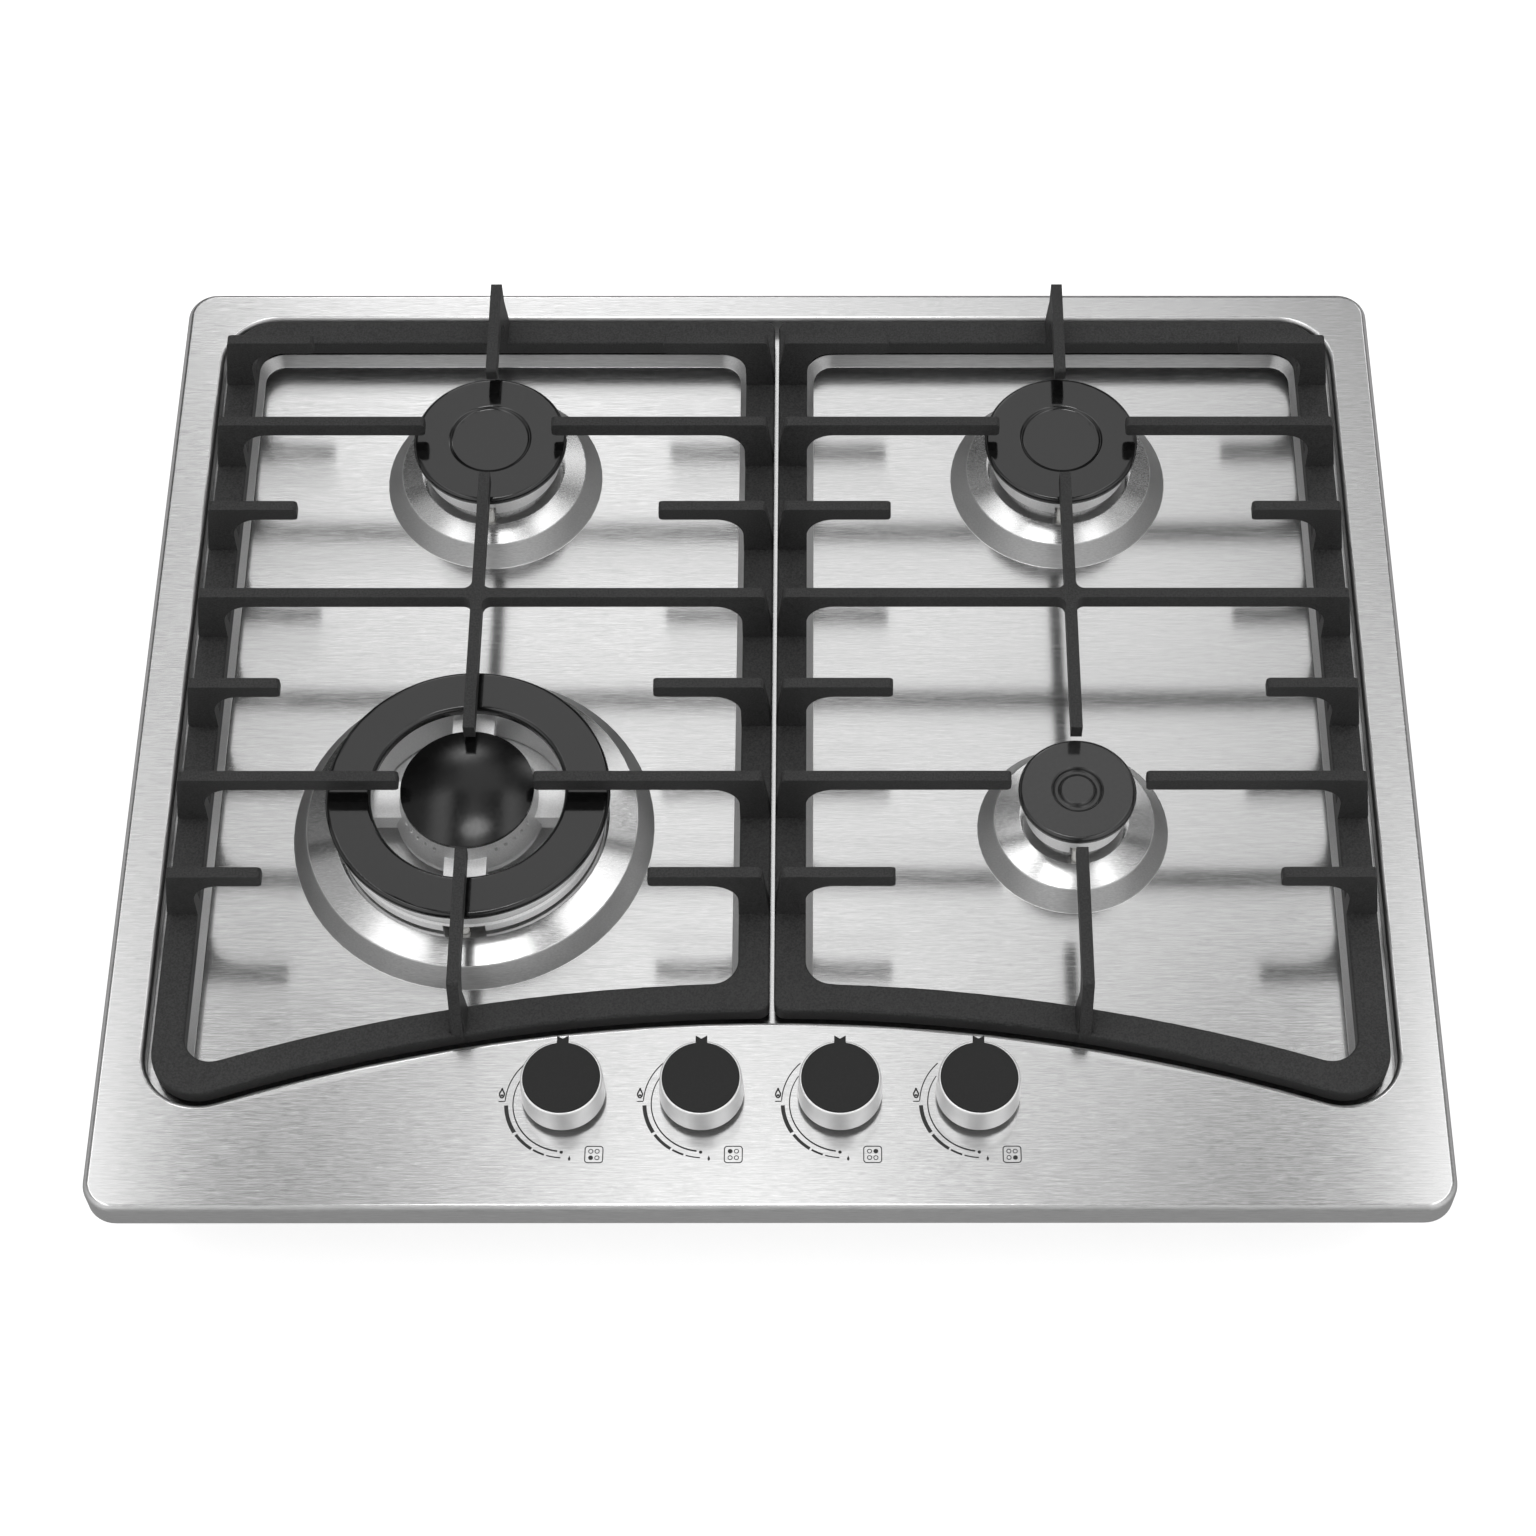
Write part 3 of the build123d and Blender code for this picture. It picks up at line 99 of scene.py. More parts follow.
def ramp(tree, value, low, high, start=0.0, end=1.0, shape="SMOOTHSTEP"):
    # a step from one level to another, between two places
    node = addNode(tree, "ShaderNodeMapRange", interpolation_type=shape)
    names = ("Value", "From Min", "From Max", "To Min", "To Max")
    for name, number in zip(names, (value, low, high, start, end)):
        feed(tree, node.inputs[name], number)
    return node.outputs[0]


def blend(tree, factor, first, second):
    # a number between two others
    node = addNode(tree, "ShaderNodeMix", data_type="FLOAT")
    for index, value in ((0, factor), (2, first), (3, second)):
        feed(tree, node.inputs[index], value)
    return node.outputs[0]


def hump(tree, value, centre, width):
    # a soft bell round a centre
    offset = maths(tree, "DIVIDE", maths(tree, "SUBTRACT", value, centre), width)
    return maths(tree, "EXPONENT", maths(tree, "MULTIPLY", maths(tree, "MULTIPLY", offset, offset), -1.0))


def mixShaders(tree, factor, first, second):
    node = addNode(tree, "ShaderNodeMixShader")
    for socket, value in zip(node.inputs, (factor, first, second)):
        tree.links.new(value, socket)
    return node.outputs[0]


# light

studio = {
    "roomLight": 0.78, "backdrop": 1.0,
    # the ceiling that the steel reflects, by places across it and along it
    "middle": -0.018, "lowest": 0.04,
    # first place, last place, level at the first, level at the last
    "boxEdge": (0.15, 0.23, 0.0, -0.56), "boxBack": (0.74, 0.83, 0.0, 0.22),
    "boxCorner": (0.1, 0.17, 0.0, 0.024), "strip": (0.196, 0.222, 0.0, 2.4), "nearSides": (0.1, 0.4, 0.3, 1.15),
    "windowSide": (0.3, 0.46, 1.0, 0.2), "windowBack": (0.87, 1.0, 1.0, 0.16),
    "wall": (0.25, 0.65, 0.13, 0.6),
    # first place and last place of a step from nought to one
    "boxReach": (0.52, 0.66), "boxFront": (0.478, 0.53), "nearFront": (-0.35, 0.05), "wallTop": (0.22, 0.5),
    "boxLevel": 1.13, "boxBackWidth": 0.08, "bandLevel": 0.02,
    # centre, width and level of the glows in the band, then across, along, width and level of the spots
    "glows": [(-0.035, 0.088, 1.2), (0.098, 0.035, 0.42)],
    "spots": [(-0.17, 1.16, 0.16, 6.0), (0.52, 1.0, 0.15, 4.5)],
}
overhead = {"place": (-0.235, 0.72, 6.0), "aim": (0, 0, 0.05), "size": (1.3, 1.0), "power": 24.0}


def makeLight():
    data = bpy.data.lights.new("overheadSpot", "AREA")
    data.shape = "ELLIPSE"
    data.size, data.size_y = overhead["size"]
    data.energy = overhead["power"]
    light = bpy.data.objects.new("overheadSpot", data)
    place = Vector(overhead["place"])
    aim = Vector(overhead["aim"]) - place
    light.matrix_world = Matrix.Translation(place) @ aim.to_track_quat("-Z", "Y").to_matrix().to_4x4()
    bpy.context.scene.collection.objects.link(light)


def makeCeiling(tree):
    # the brightness that glossy surfaces see, by direction
    direction = addNode(tree, "ShaderNodeTexCoord")
    split = addNode(tree, "ShaderNodeSeparateXYZ")
    tree.links.new(direction.outputs["Generated"], split.inputs[0])
    x, y, z = split.outputs
    # the ceiling is a plane one metre up
    height = maths(tree, "MAXIMUM", z, studio["lowest"])
    across = maths(tree, "DIVIDE", x, height)
    along = maths(tree, "DIVIDE", y, height)
    aside = maths(tree, "ABSOLUTE", maths(tree, "SUBTRACT", across, studio["middle"]))
    # a wide soft box over the back, weaker at its sides and at its far end
    edge = maths(tree, "MULTIPLY", ramp(tree, aside, *studio["boxEdge"]),
                 ramp(tree, along, *studio["boxReach"]))
    far = maths(tree, "MULTIPLY", ramp(tree, along, *studio["boxBack"]),
                maths(tree, "SUBTRACT", hump(tree, across, 0.0, studio["boxBackWidth"]), 1.0))
    box = maths(tree, "ADD", maths(tree, "ADD", edge, far), studio["boxLevel"])
    # in front of it a darker band between two strip lights
    band = maths(tree, "ADD", ramp(tree, aside, *studio["strip"]), studio["bandLevel"])
    for place, width, level in studio["glows"]:
        band = maths(tree, "ADD", band, maths(tree, "MULTIPLY", hump(tree, across, place, width), level))
    inset = maths(tree, "SUBTRACT", along, ramp(tree, aside, *studio["boxCorner"]))
    back = blend(tree, ramp(tree, inset, *studio["boxFront"]), band, box)
    for value, window in ((aside, studio["windowSide"]), (along, studio["windowBack"])):
        back = maths(tree, "MULTIPLY", back, ramp(tree, value, *window))
    # over the front it is dark in the middle and bright at both sides
    near = ramp(tree, maths(tree, "ABSOLUTE", across), *studio["nearSides"])
    top = blend(tree, ramp(tree, along, *studio["nearFront"]), near, back)
    for place, depth, width, level in studio["spots"]:
        spot = maths(tree, "MULTIPLY", hump(tree, across, place, width), hump(tree, along, depth, width))
        top = maths(tree, "ADD", top, maths(tree, "MULTIPLY", spot, level))
    # the walls are brighter at the sides than before the front
    wall = ramp(tree, maths(tree, "ABSOLUTE", x), *studio["wall"])
    return blend(tree, ramp(tree, z, *studio["wallTop"]), wall, top)


def makeWorld():
    world = bpy.data.worlds.new("studioWorld")
    bpy.context.scene.world = world
    world.use_nodes = True
    tree = world.node_tree
    tree.nodes.clear()
    mirror = addNode(tree, "ShaderNodeBackground")
    tree.links.new(makeCeiling(tree), mirror.inputs["Color"])
    plain, seen = (
        addNode(tree, "ShaderNodeBackground", fixed=[("Color", (1, 1, 1, 1)), ("Strength", strength)])
        for strength in (studio["roomLight"], studio["backdrop"])
    )
    path = addNode(tree, "ShaderNodeLightPath")
    glossy = mixShaders(tree, path.outputs["Is Glossy Ray"], plain.outputs[0], mirror.outputs[0])
    final = mixShaders(tree, path.outputs["Is Camera Ray"], glossy, seen.outputs[0])
    tree.links.new(final, addNode(tree, "ShaderNodeOutputWorld").inputs["Surface"])


# floor

floorLook = {
    "size": 6.0, "colour": (0.75, 0.75, 0.75), "glow": 0.67, "mirror": 0.38,
    "height": -0.001,  # just under the part, so that the two don't share a plane
}


def makeFloor():
    bm = bmesh.new()
    bmesh.ops.create_grid(bm, x_segments=1, y_segments=1, size=floorLook["size"] / 2)
    mesh = bpy.data.meshes.new("floor")
    bm.to_mesh(mesh)
    bm.free()
    floor = bpy.data.objects.new("floor", mesh)
    floor.location.z = floorLook["height"]
    bpy.context.scene.collection.objects.link(floor)
    material = bpy.data.materials.new("paleFloor")
    material.use_nodes = True
    tree = material.node_tree
    tree.nodes.clear()
    path = addNode(tree, "ShaderNodeLightPath")
    diffuse = addNode(tree, "ShaderNodeBsdfDiffuse", fixed=[("Color", (*floorLook["colour"], 1))])
    # the camera sees it lifted to white, with the shadow left in it
    glow = addNode(tree, "ShaderNodeEmission")
    strength = maths(tree, "MULTIPLY", path.outputs["Is Camera Ray"], floorLook["glow"])
    tree.links.new(strength, glow.inputs["Strength"])
    pale = addNode(tree, "ShaderNodeAddShader")
    tree.links.new(diffuse.outputs[0], pale.inputs[0])
    tree.links.new(glow.outputs[0], pale.inputs[1])
    mirrored = addNode(tree, "ShaderNodeEmission", fixed=[("Strength", floorLook["mirror"])])
    above = mixShaders(tree, path.outputs["Is Glossy Ray"], pale.outputs[0], mirrored.outputs[0])
    # from below it can be seen through
    side = addNode(tree, "ShaderNodeNewGeometry")
    clear = addNode(tree, "ShaderNodeBsdfTransparent")
    both = mixShaders(tree, side.outputs["Backfacing"], above, clear.outputs[0])
    tree.links.new(both, addNode(tree, "ShaderNodeOutputMaterial").inputs["Surface"])
    mesh.materials.append(material)


makeCamera()
makeWorld()
makeFloor()
makeLight()
bpy.context.scene.view_settings.view_transform = "Standard"
print("camera, light and floor are in place")


# shared effects

effects = {
    # stretch of the noise along the three axes, in waves per metre
    "longStreaks": (70, 1800, 1800), "hairLines": (240, 3200, 3200), "steelClouds": (6, 14, 14),
    "grainClouds": (30, 30, 30), "even": (1, 1, 1),
    "streakRoughness": 0.6, "hairShare": 0.5, "grainDetail": 3.0,
    "span": (0.35, 0.65),  # the part of the noise that is spread from least to most
}


def newGroup(name, inputs, outputs):
    group = bpy.data.node_groups.new(name, "ShaderNodeTree")
    for socket, value in inputs:
        made = group.interface.new_socket(socket, in_out="INPUT", socket_type="NodeSocketFloat")
        made.default_value = value
    for socket in outputs:
        group.interface.new_socket(socket, in_out="OUTPUT", socket_type="NodeSocketFloat")
    return group, group.nodes.new("NodeGroupInput"), group.nodes.new("NodeGroupOutput")


def noiseOf(group, stretch, detail=2.0, roughness=0.5):
    # noise over the object's own coordinates
    coords = addNode(group, "ShaderNodeTexCoord")
    mapping = addNode(group, "ShaderNodeMapping", fixed=[("Scale", stretch)])
    noise = addNode(group, "ShaderNodeTexNoise",
                    fixed=[("Scale", 1.0), ("Detail", detail), ("Roughness", roughness)])
    group.links.new(coords.outputs["Object"], mapping.inputs["Vector"])
    group.links.new(mapping.outputs["Vector"], noise.inputs["Vector"])
    return noise


def finishGroup(group, start, end, main, clouds):
    # the pattern itself, slow clouds, and the pattern between the two given limits
    low, high = start.outputs["Low"], start.outputs["High"]
    level = ramp(group, main, *effects["span"], low, high, "LINEAR")
    for socket, value in zip(end.inputs, (main, clouds, level)):
        group.links.new(value, socket)
    return group


def makeStreakGroup():
    # fine brush lines along X, from long streaks and hair lines
    limits = [("Low", 0.0), ("High", 1.0)]
    group, start, end = newGroup("brushLines", limits, ["Pattern", "Clouds", "Level"])
    rough = effects["streakRoughness"]
    long = noiseOf(group, effects["longStreaks"], roughness=rough).outputs["Fac"]
    hair = noiseOf(group, effects["hairLines"], roughness=rough).outputs["Fac"]
    clouds = noiseOf(group, effects["steelClouds"]).outputs["Fac"]
    return finishGroup(group, start, end, blend(group, effects["hairShare"], long, hair), clouds)


def makeGrainGroup():
    # an even grain of a given size
    limits = [("Scale", 800.0), ("Low", 0.0), ("High", 1.0)]
    group, start, end = newGroup("fineGrain", limits, ["Pattern", "Clouds", "Level"])
    noise = noiseOf(group, effects["even"], effects["grainDetail"])
    clouds = noiseOf(group, effects["grainClouds"]).outputs["Fac"]
    group.links.new(start.outputs["Scale"], noise.inputs["Scale"])
    return finishGroup(group, start, end, noise.outputs["Fac"], clouds)


streakGroup = makeStreakGroup()
grainGroup = makeGrainGroup()
print("shared effects are made")


# materials

dull = [("Specular IOR Level", 0.3)]
halfDull = [("Specular IOR Level", 0.36)]
glossyCoat = [("Coat Weight", 0.3), ("Coat Roughness", 0.05), ("IOR", 1.5)]
brushed = {
    "tones": (0.53, 0.78), "rough": (0.15, 0.21), "startRoughness": 0.3, "anisotropy": 0.65,
    "toneSpan": (0.32, 0.68), "cloudShare": 0.25, "bump": 0.05, "bumpDepth": 0.0001,
    "slope": (0.9, 0.995, 0.24, 0.0),  # what the drawn slopes add to the roughness of the flats
}
grainLook = {"cloudShare": 0.3, "bumpDepth": 0.0002}
# metallic share, dark and light tone, least and most roughness, grains per metre, strength of the bump
grained = {
    "castEnamel": {"metal": 0.0, "tones": (0.016, 0.055), "rough": (0.5, 0.66), "grain": 1300, "bump": 0.45,
                   "fixed": dull},
    "capEnamel": {"metal": 0.0, "tones": (0.004, 0.007), "rough": (0.09, 0.14), "grain": 500, "bump": 0.012,
                  "fixed": glossyCoat},
    "smallCapEnamel": {"metal": 0.0, "tones": (0.02, 0.026), "rough": (0.12, 0.18), "grain": 500,
                       "bump": 0.015, "fixed": glossyCoat},
    "domeEnamel": {"metal": 0.0, "tones": (0.003, 0.005), "rough": (0.15, 0.18), "grain": 500, "bump": 0.01,
                   "fixed": halfDull},
    "burnerAluminium": {"metal": 0.7, "tones": (0.78, 0.92), "rough": (0.34, 0.46), "grain": 1500,
                        "bump": 0.16},
    "traySteel": {"metal": 1.0, "tones": (0.46, 0.6), "rough": (0.35, 0.55), "grain": 120, "bump": 0.03},
    "zincSteel": {"metal": 1.0, "tones": (0.5, 0.64), "rough": (0.25, 0.4), "grain": 900, "bump": 0.05},
    "railSteel": {"metal": 1.0, "tones": (0.4, 0.52), "rough": (0.3, 0.42), "grain": 700, "bump": 0.05},
    "brass": {"metal": 1.0, "tones": ((0.6, 0.44, 0.19), (0.74, 0.57, 0.28)), "rough": (0.25, 0.38),
              "grain": 900, "bump": 0.05},
    "ceramic": {"metal": 0.0, "tones": ((0.8, 0.79, 0.75), (0.88, 0.87, 0.84)), "rough": (0.18, 0.3),
                "grain": 600, "bump": 0.04},
    "blackPlastic": {"metal": 0.0, "tones": (0.025, 0.04), "rough": (0.42, 0.6), "grain": 1600, "bump": 0.12},
    "rubber": {"metal": 0.0, "tones": (0.02, 0.032), "rough": (0.65, 0.8), "grain": 1500, "bump": 0.12},
    "foam": {"metal": 0.0, "tones": (0.05, 0.09), "rough": (0.85, 0.95), "grain": 1100, "bump": 0.5},
    "silicone": {"metal": 0.0, "tones": ((0.32, 0.06, 0.05), (0.42, 0.09, 0.07)), "rough": (0.45, 0.55),
                 "grain": 700, "bump": 0.05},
    "knobMetal": {"metal": 0.55, "tones": (0.88, 0.92), "rough": (0.28, 0.31), "grain": 300, "bump": 0.001},
    "discBlack": {"metal": 0.0, "tones": (0.006, 0.012), "rough": (0.38, 0.46), "grain": 2200, "bump": 0.02,
                  "fixed": dull},
    "markInk": {"metal": 0.0, "tones": (0.008, 0.014), "rough": (0.4, 0.5), "grain": 2500, "bump": 0.02},
}


def newMaterial(name, metallic, roughness, fixed):
    material = bpy.data.materials.new(name)
    material.use_nodes = True
    shader = next(node for node in material.node_tree.nodes if node.type == "BSDF_PRINCIPLED")
    for socket, value in [("Metallic", metallic), ("Roughness", roughness), *fixed]:
        shader.inputs[socket].default_value = value
    return material, material.node_tree, shader


def colourBetween(tree, factor, tones):
    # a tone is a grey level or a colour
    mix = addNode(tree, "ShaderNodeMix", data_type="RGBA")
    for index, tone in zip((6, 7), tones):
        mix.inputs[index].default_value = (*tone, 1) if isinstance(tone, tuple) else (tone, tone, tone, 1)
    tree.links.new(factor, mix.inputs["Factor"])
    return mix.outputs[2]


def dress(tree, shader, effect, look, toneSpan, cloudShare, bumpDepth):
    # colour and bump from one of the shared effects
    pattern = effect.outputs["Pattern"]
    tone = blend(tree, cloudShare, ramp(tree, pattern, *toneSpan, shape="LINEAR"), effect.outputs["Clouds"])
    tree.links.new(colourBetween(tree, tone, look["tones"]), shader.inputs["Base Color"])
    bump = addNode(tree, "ShaderNodeBump", fixed=[("Strength", look["bump"]), ("Distance", bumpDepth)])
    tree.links.new(pattern, bump.inputs["Height"])
    tree.links.new(bump.outputs["Normal"], shader.inputs["Normal"])


def makeSteel(name):
    anisotropic = [("Anisotropic", brushed["anisotropy"])]
    material, tree, shader = newMaterial(name, 1.0, brushed["startRoughness"], anisotropic)
    low, high = brushed["rough"]
    lines = addNode(tree, "ShaderNodeGroup", node_tree=streakGroup, fixed=[("Low", low), ("High", high)])
    dress(tree, shader, lines, brushed, brushed["toneSpan"], brushed["cloudShare"], brushed["bumpDepth"])
    geometry = addNode(tree, "ShaderNodeNewGeometry")
    split = addNode(tree, "ShaderNodeSeparateXYZ")
    tree.links.new(geometry.outputs["Normal"], split.inputs[0])
    slope = ramp(tree, split.outputs["Z"], *brushed["slope"])
    tree.links.new(maths(tree, "ADD", lines.outputs["Level"], slope), shader.inputs["Roughness"])
    tangent = addNode(tree, "ShaderNodeCombineXYZ", fixed=[("Y", 1.0)])
    tree.links.new(tangent.outputs[0], shader.inputs["Tangent"])
    return material


def makeGrained(name, look):
    low, high = look["rough"]
    material, tree, shader = newMaterial(name, look["metal"], high, look.get("fixed", []))
    grain = addNode(tree, "ShaderNodeGroup", node_tree=grainGroup,
                    fixed=[("Scale", look["grain"]), ("Low", low), ("High", high)])
    dress(tree, shader, grain, look, effects["span"], grainLook["cloudShare"], grainLook["bumpDepth"])
    tree.links.new(grain.outputs["Level"], shader.inputs["Roughness"])
    return material


materials = {"panelSteel": makeSteel("panelSteel")}
for name, look in grained.items():
    materials[name] = makeGrained(name, look)
print("materials are made:", len(materials))


# printed marks round the knobs, all but the places of the knobs in millimetres

marks = {
    "rimTop": 0.060, "lift": 0.00004,  # metres
    "knobX": (-0.090, -0.030, 0.030, 0.090), "knobY": -0.196,  # metres
    "centre": (1.2, -3.6), "outerRadius": 26.05, "innerRadius": 23.1,
    # first and last angle and width of the dashes, which get thinner towards the low flame
    "dashes": [(-177.4, -147.3, 1.75), (-144.5, -123.2, 1.4), (-121.1, -109.4, 0.9), (-107.1, -93.3, 0.56)],
    "innerArc": (146.0, 262.5, 0.75), "innerStart": 0.55,  # a width, and the share of it at the start
    "hookArc": (134.0, 176.5), "hookRadius": 26.55, "hookEnd": [(-25.5, -2.85), (-28.2, -2.9)],
    "hookWidth": 0.5,
    # place and radius of the dot, place and height of the flames, place, half width and line of the icon
    "dot": (-0.05, -27.01, 0.75), "bigFlame": (-26.9, 0.85, 4.0), "smallFlame": (3.5, -29.95, 2.1),
    "icon": (14.03, -28.1, 3.85, 0.46), "iconCorner": 0.34,
    "burner": 1.05, "burnerRing": (0.91, 0.36), "burnerStep": (1.36, 1.52),
    "filled": ((-1, -1), (-1, 1), (1, 1), (1, -1)),  # which burner of the icon is black, knob by knob
    # a flame's shape as shares of its height
    "flameWidth": 0.26, "flamePinch": 0.62, "flameTip": 0.12, "tipFrom": 0.9, "flameLine": 0.17,
    "flameHeart": (0.2, 0.14),
    "steps": {"disc": 24, "ring": 28, "dash": 16, "inner": 48, "hook": 20, "flame": 24, "corner": 6},
}


def flatStrip(bm, line, width, startShare=1.0):
    # a flat band along a line of points, which can start with a share of its width
    edges = []
    last = len(line) - 1
    for index, point in enumerate(line):
        before, after = line[max(index - 1, 0)], line[min(index + 1, last)]
        step = (Vector(after) - Vector(before)).normalized()
        here = width * (startShare + (1 - startShare) * index / last)
        side = Vector((-step.y, step.x)) * here / 2
        ends = [bm.verts.new((*(Vector(point) + sign * side), 0)) for sign in (1, -1)]
        edges.append([bm.edges.new(ends)])
    for first, second in zip(edges, edges[1:]):
        bmesh.ops.bridge_loops(bm, edges=first + second)


def arcPoints(centre, radius, start, end, count):
    angles = [math.radians(start + (end - start) * i / count) for i in range(count + 1)]
    return [(centre[0] + radius * math.cos(angle), centre[1] + radius * math.sin(angle)) for angle in angles]


def flatDisc(bm, centre, radius):
    made = bmesh.ops.create_circle(bm, cap_ends=True, segments=marks["steps"]["disc"], radius=radius)
    bmesh.ops.translate(bm, verts=made["verts"], vec=(*centre, 0))


def flame(bm, x, y, height, hollow):
    # a pointed drop, or its outline round a heart
    line = []
    count = marks["steps"]["flame"]
    for i in range(count + 1):
        turn = math.radians(-90 + 360 * i / count)
        rise = math.sin(turn)
        aside = math.cos(turn) * (1 - marks["flamePinch"] * max(rise, 0)) * height * marks["flameWidth"]
        tip = marks["flameTip"] * height if rise > marks["tipFrom"] else 0
        line.append((x + aside, y + rise * height / 2 + tip))
    if hollow:
        drop, radius = marks["flameHeart"]
        flatStrip(bm, line, height * marks["flameLine"])
        flatDisc(bm, (x, y - height * drop), height * radius)
    else:
        corners = [bm.verts.new((*point, 0)) for point in line[:-1]]
        bmesh.ops.contextual_create(bm, geom=corners)


def roundedSquare(bm, x, y, half, width):
    corner = half * marks["iconCorner"]
    line = []
    for turn, (sideX, sideY) in enumerate(((1, 1), (-1, 1), (-1, -1), (1, -1))):
        middle = (x + sideX * (half - corner), y + sideY * (half - corner))
        line += arcPoints(middle, corner, 90 * turn, 90 * turn + 90, marks["steps"]["corner"])
    line.append(line[0])
    flatStrip(bm, line, width)


def marksOfKnob(bm, filled):
    centre, steps = marks["centre"], marks["steps"]
    for start, end, width in marks["dashes"]:
        flatStrip(bm, arcPoints(centre, marks["outerRadius"], start, end, steps["dash"]), width)
    start, end, width = marks["innerArc"]
    inner = arcPoints(centre, marks["innerRadius"], start, end, steps["inner"])
    flatStrip(bm, inner, width, marks["innerStart"])
    hook = arcPoints(centre, marks["hookRadius"], *marks["hookArc"], steps["hook"]) + marks["hookEnd"]
    flatStrip(bm, hook, marks["hookWidth"])
    flatDisc(bm, marks["dot"][:2], marks["dot"][2])
    flame(bm, *marks["bigFlame"], True)
    flame(bm, *marks["smallFlame"], False)
    roundedSquare(bm, *marks["icon"])
    iconX, iconY = marks["icon"][:2]
    stepX, stepY = marks["burnerStep"]
    radius, line = marks["burnerRing"]
    for side in (-1, 1):
        for row in (-1, 1):
            place = (iconX + side * stepX, iconY + row * stepY)
            if (side, row) == filled:
                flatDisc(bm, place, marks["burner"])
            else:
                flatStrip(bm, arcPoints(place, radius, 0, 360, steps["ring"]), line)


def makeMarks():
    bm = bmesh.new()
    for knob, filled in zip(marks["knobX"], marks["filled"]):
        one = bmesh.new()
        marksOfKnob(one, filled)
        bmesh.ops.scale(one, verts=one.verts, vec=(millimetre, millimetre, millimetre))
        bmesh.ops.translate(one, verts=one.verts, vec=(knob, marks["knobY"], marks["rimTop"] + marks["lift"]))
        mesh = bpy.data.meshes.new("part")
        one.to_mesh(mesh)
        one.free()
        bm.from_mesh(mesh)
        bpy.data.meshes.remove(mesh)
    bmesh.ops.recalc_face_normals(bm, faces=bm.faces)
    for face in bm.faces:
        if face.normal.z < 0:
            face.normal_flip()
    mesh = bpy.data.meshes.new("printedMarks")
    bm.to_mesh(mesh)
    bm.free()
    piece = bpy.data.objects.new("printedMarks", mesh)
    bpy.context.scene.collection.objects.link(piece)
    mesh.materials.append(materials["markInk"])
    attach(piece, "hob")
    print("printed marks:", len(mesh.polygons), "faces")


makeMarks()


# finishes, by the first entry that is part of a node's name

finishes = [
    ("top_panel", "panelSteel"), ("bottom_tray", "traySteel"), ("panel_brackets", "traySteel"),
    ("_grate_feet", "rubber"), ("_grate", "castEnamel"), ("front_right_cap", "smallCapEnamel"),
    ("dome_cap", "domeEnamel"), ("_cap", "capEnamel"), ("burner_head", "burnerAluminium"),
    ("burner_cup", "burnerAluminium"), ("lock_rings", "zincSteel"), ("ceramics", "ceramic"),
    ("electrodes", "zincSteel"), ("injectors", "brass"), ("valve_bodies", "burnerAluminium"),
    ("rail_clamps", "burnerAluminium"), ("tube_nuts", "brass"), ("gas_inlet", "brass"),
    ("gas_rail", "railSteel"), ("gas_tubes", "burnerAluminium"), ("wiring", "silicone"), ("rim_seal", "foam"),
    ("knob_seals", "rubber"),
    ("_disc", "discBlack"), ("_knob", "knobMetal"), ("generator", "blackPlastic"), ("gland", "blackPlastic"),
    ("switches", "blackPlastic"), ("plug", "brass"), ("", "zincSteel"),
]


def finishOf(node):
    return materials[next(finish for part, finish in finishes if part in node)]


# pieces that keep their solid's shape, with softened edges

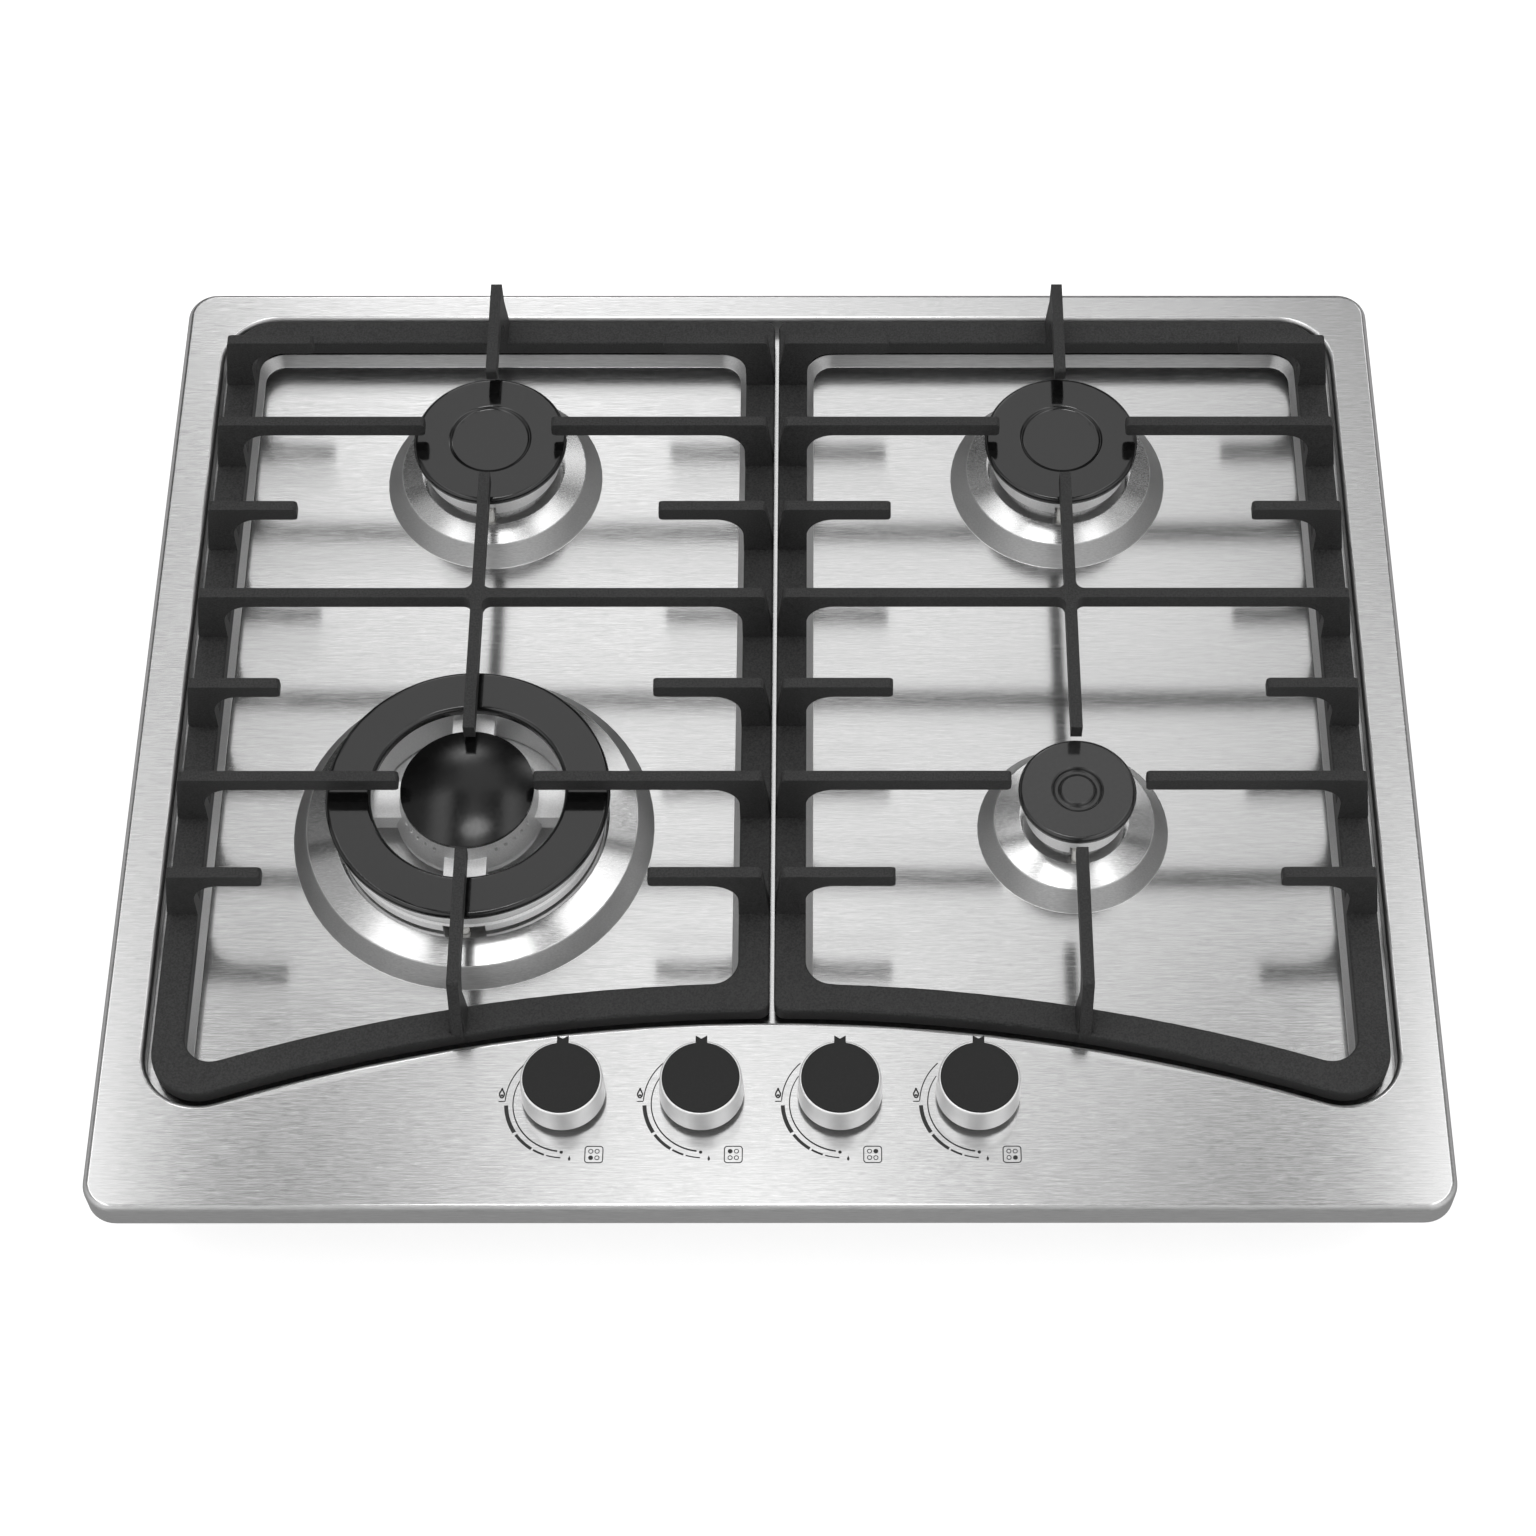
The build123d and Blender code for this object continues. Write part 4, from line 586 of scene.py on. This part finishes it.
softening = {
    "merge": 0.000002, "flatWithin": 0.6, "sharpFrom": 30, "segments": 2,
    # radius in millimetres, and the least angle of an edge that is rounded
    "left_grate": (0.7, 35), "right_grate": (0.7, 35), "top_panel": (0.6, 42),
    "rear_left_cap": (0.45, 35), "rear_right_cap": (0.45, 35), "front_right_cap": (0.4, 35),
    "front_left_ring_cap": (0.45, 35), "front_left_dome_cap": (0.3, 35),
    "knob": (0.25, 60),
}
caps = ["rear_left_cap", "rear_right_cap", "front_right_cap", "front_left_ring_cap", "front_left_dome_cap"]
knobs = ["rear_left_knob", "rear_right_knob", "front_left_knob", "front_right_knob"]
bodyOf = {node: body for body, nodes in frame["record"]["behaviour"]["bodies"].items() for node in nodes}


def softened(node, width, angle):
    # a merged copy of a solid's mesh with its sharp edges rounded over
    mesh = frame["nodes"][node].data.copy()
    mesh.name = node + "Soft"
    if mesh.attributes.get("custom_normal"):
        mesh.attributes.remove(mesh.attributes["custom_normal"])
    bm = bmesh.new()
    bm.from_mesh(mesh)
    bmesh.ops.remove_doubles(bm, verts=bm.verts, dist=softening["merge"])
    flat = math.radians(softening["flatWithin"])
    bmesh.ops.dissolve_limit(bm, angle_limit=flat, verts=bm.verts, edges=bm.edges)
    bmesh.ops.recalc_face_normals(bm, faces=bm.faces)
    bm.to_mesh(mesh)
    bm.free()
    mesh.shade_smooth()
    mesh.set_sharp_from_angle(angle=math.radians(softening["sharpFrom"]))
    piece = bpy.data.objects.new(node + "Soft", mesh)
    bpy.context.scene.collection.objects.link(piece)
    bevel = piece.modifiers.new("edges", "BEVEL")
    bevel.width = width * millimetre
    bevel.segments = softening["segments"]
    bevel.limit_method = "ANGLE"
    bevel.angle_limit = math.radians(angle)
    bevel.miter_outer = "MITER_ARC"
    weighted = piece.modifiers.new("normals", "WEIGHTED_NORMAL")
    weighted.keep_sharp = True
    mesh.materials.clear()
    mesh.materials.append(finishOf(node))
    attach(piece, bodyOf[node])
    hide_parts(node)
    print("softened", node, len(mesh.polygons), "faces")


for node in ["left_grate", "right_grate", "top_panel"] + caps:
    softened(node, *softening[node])
for knob in knobs:
    for node in (knob, knob + "_disc"):
        softened(node, *softening["knob"])

for name, node in frame["nodes"].items():
    node.data.materials.clear()
    node.data.materials.append(finishOf(name))
print("finishes are on", len(frame["nodes"]), "nodes")
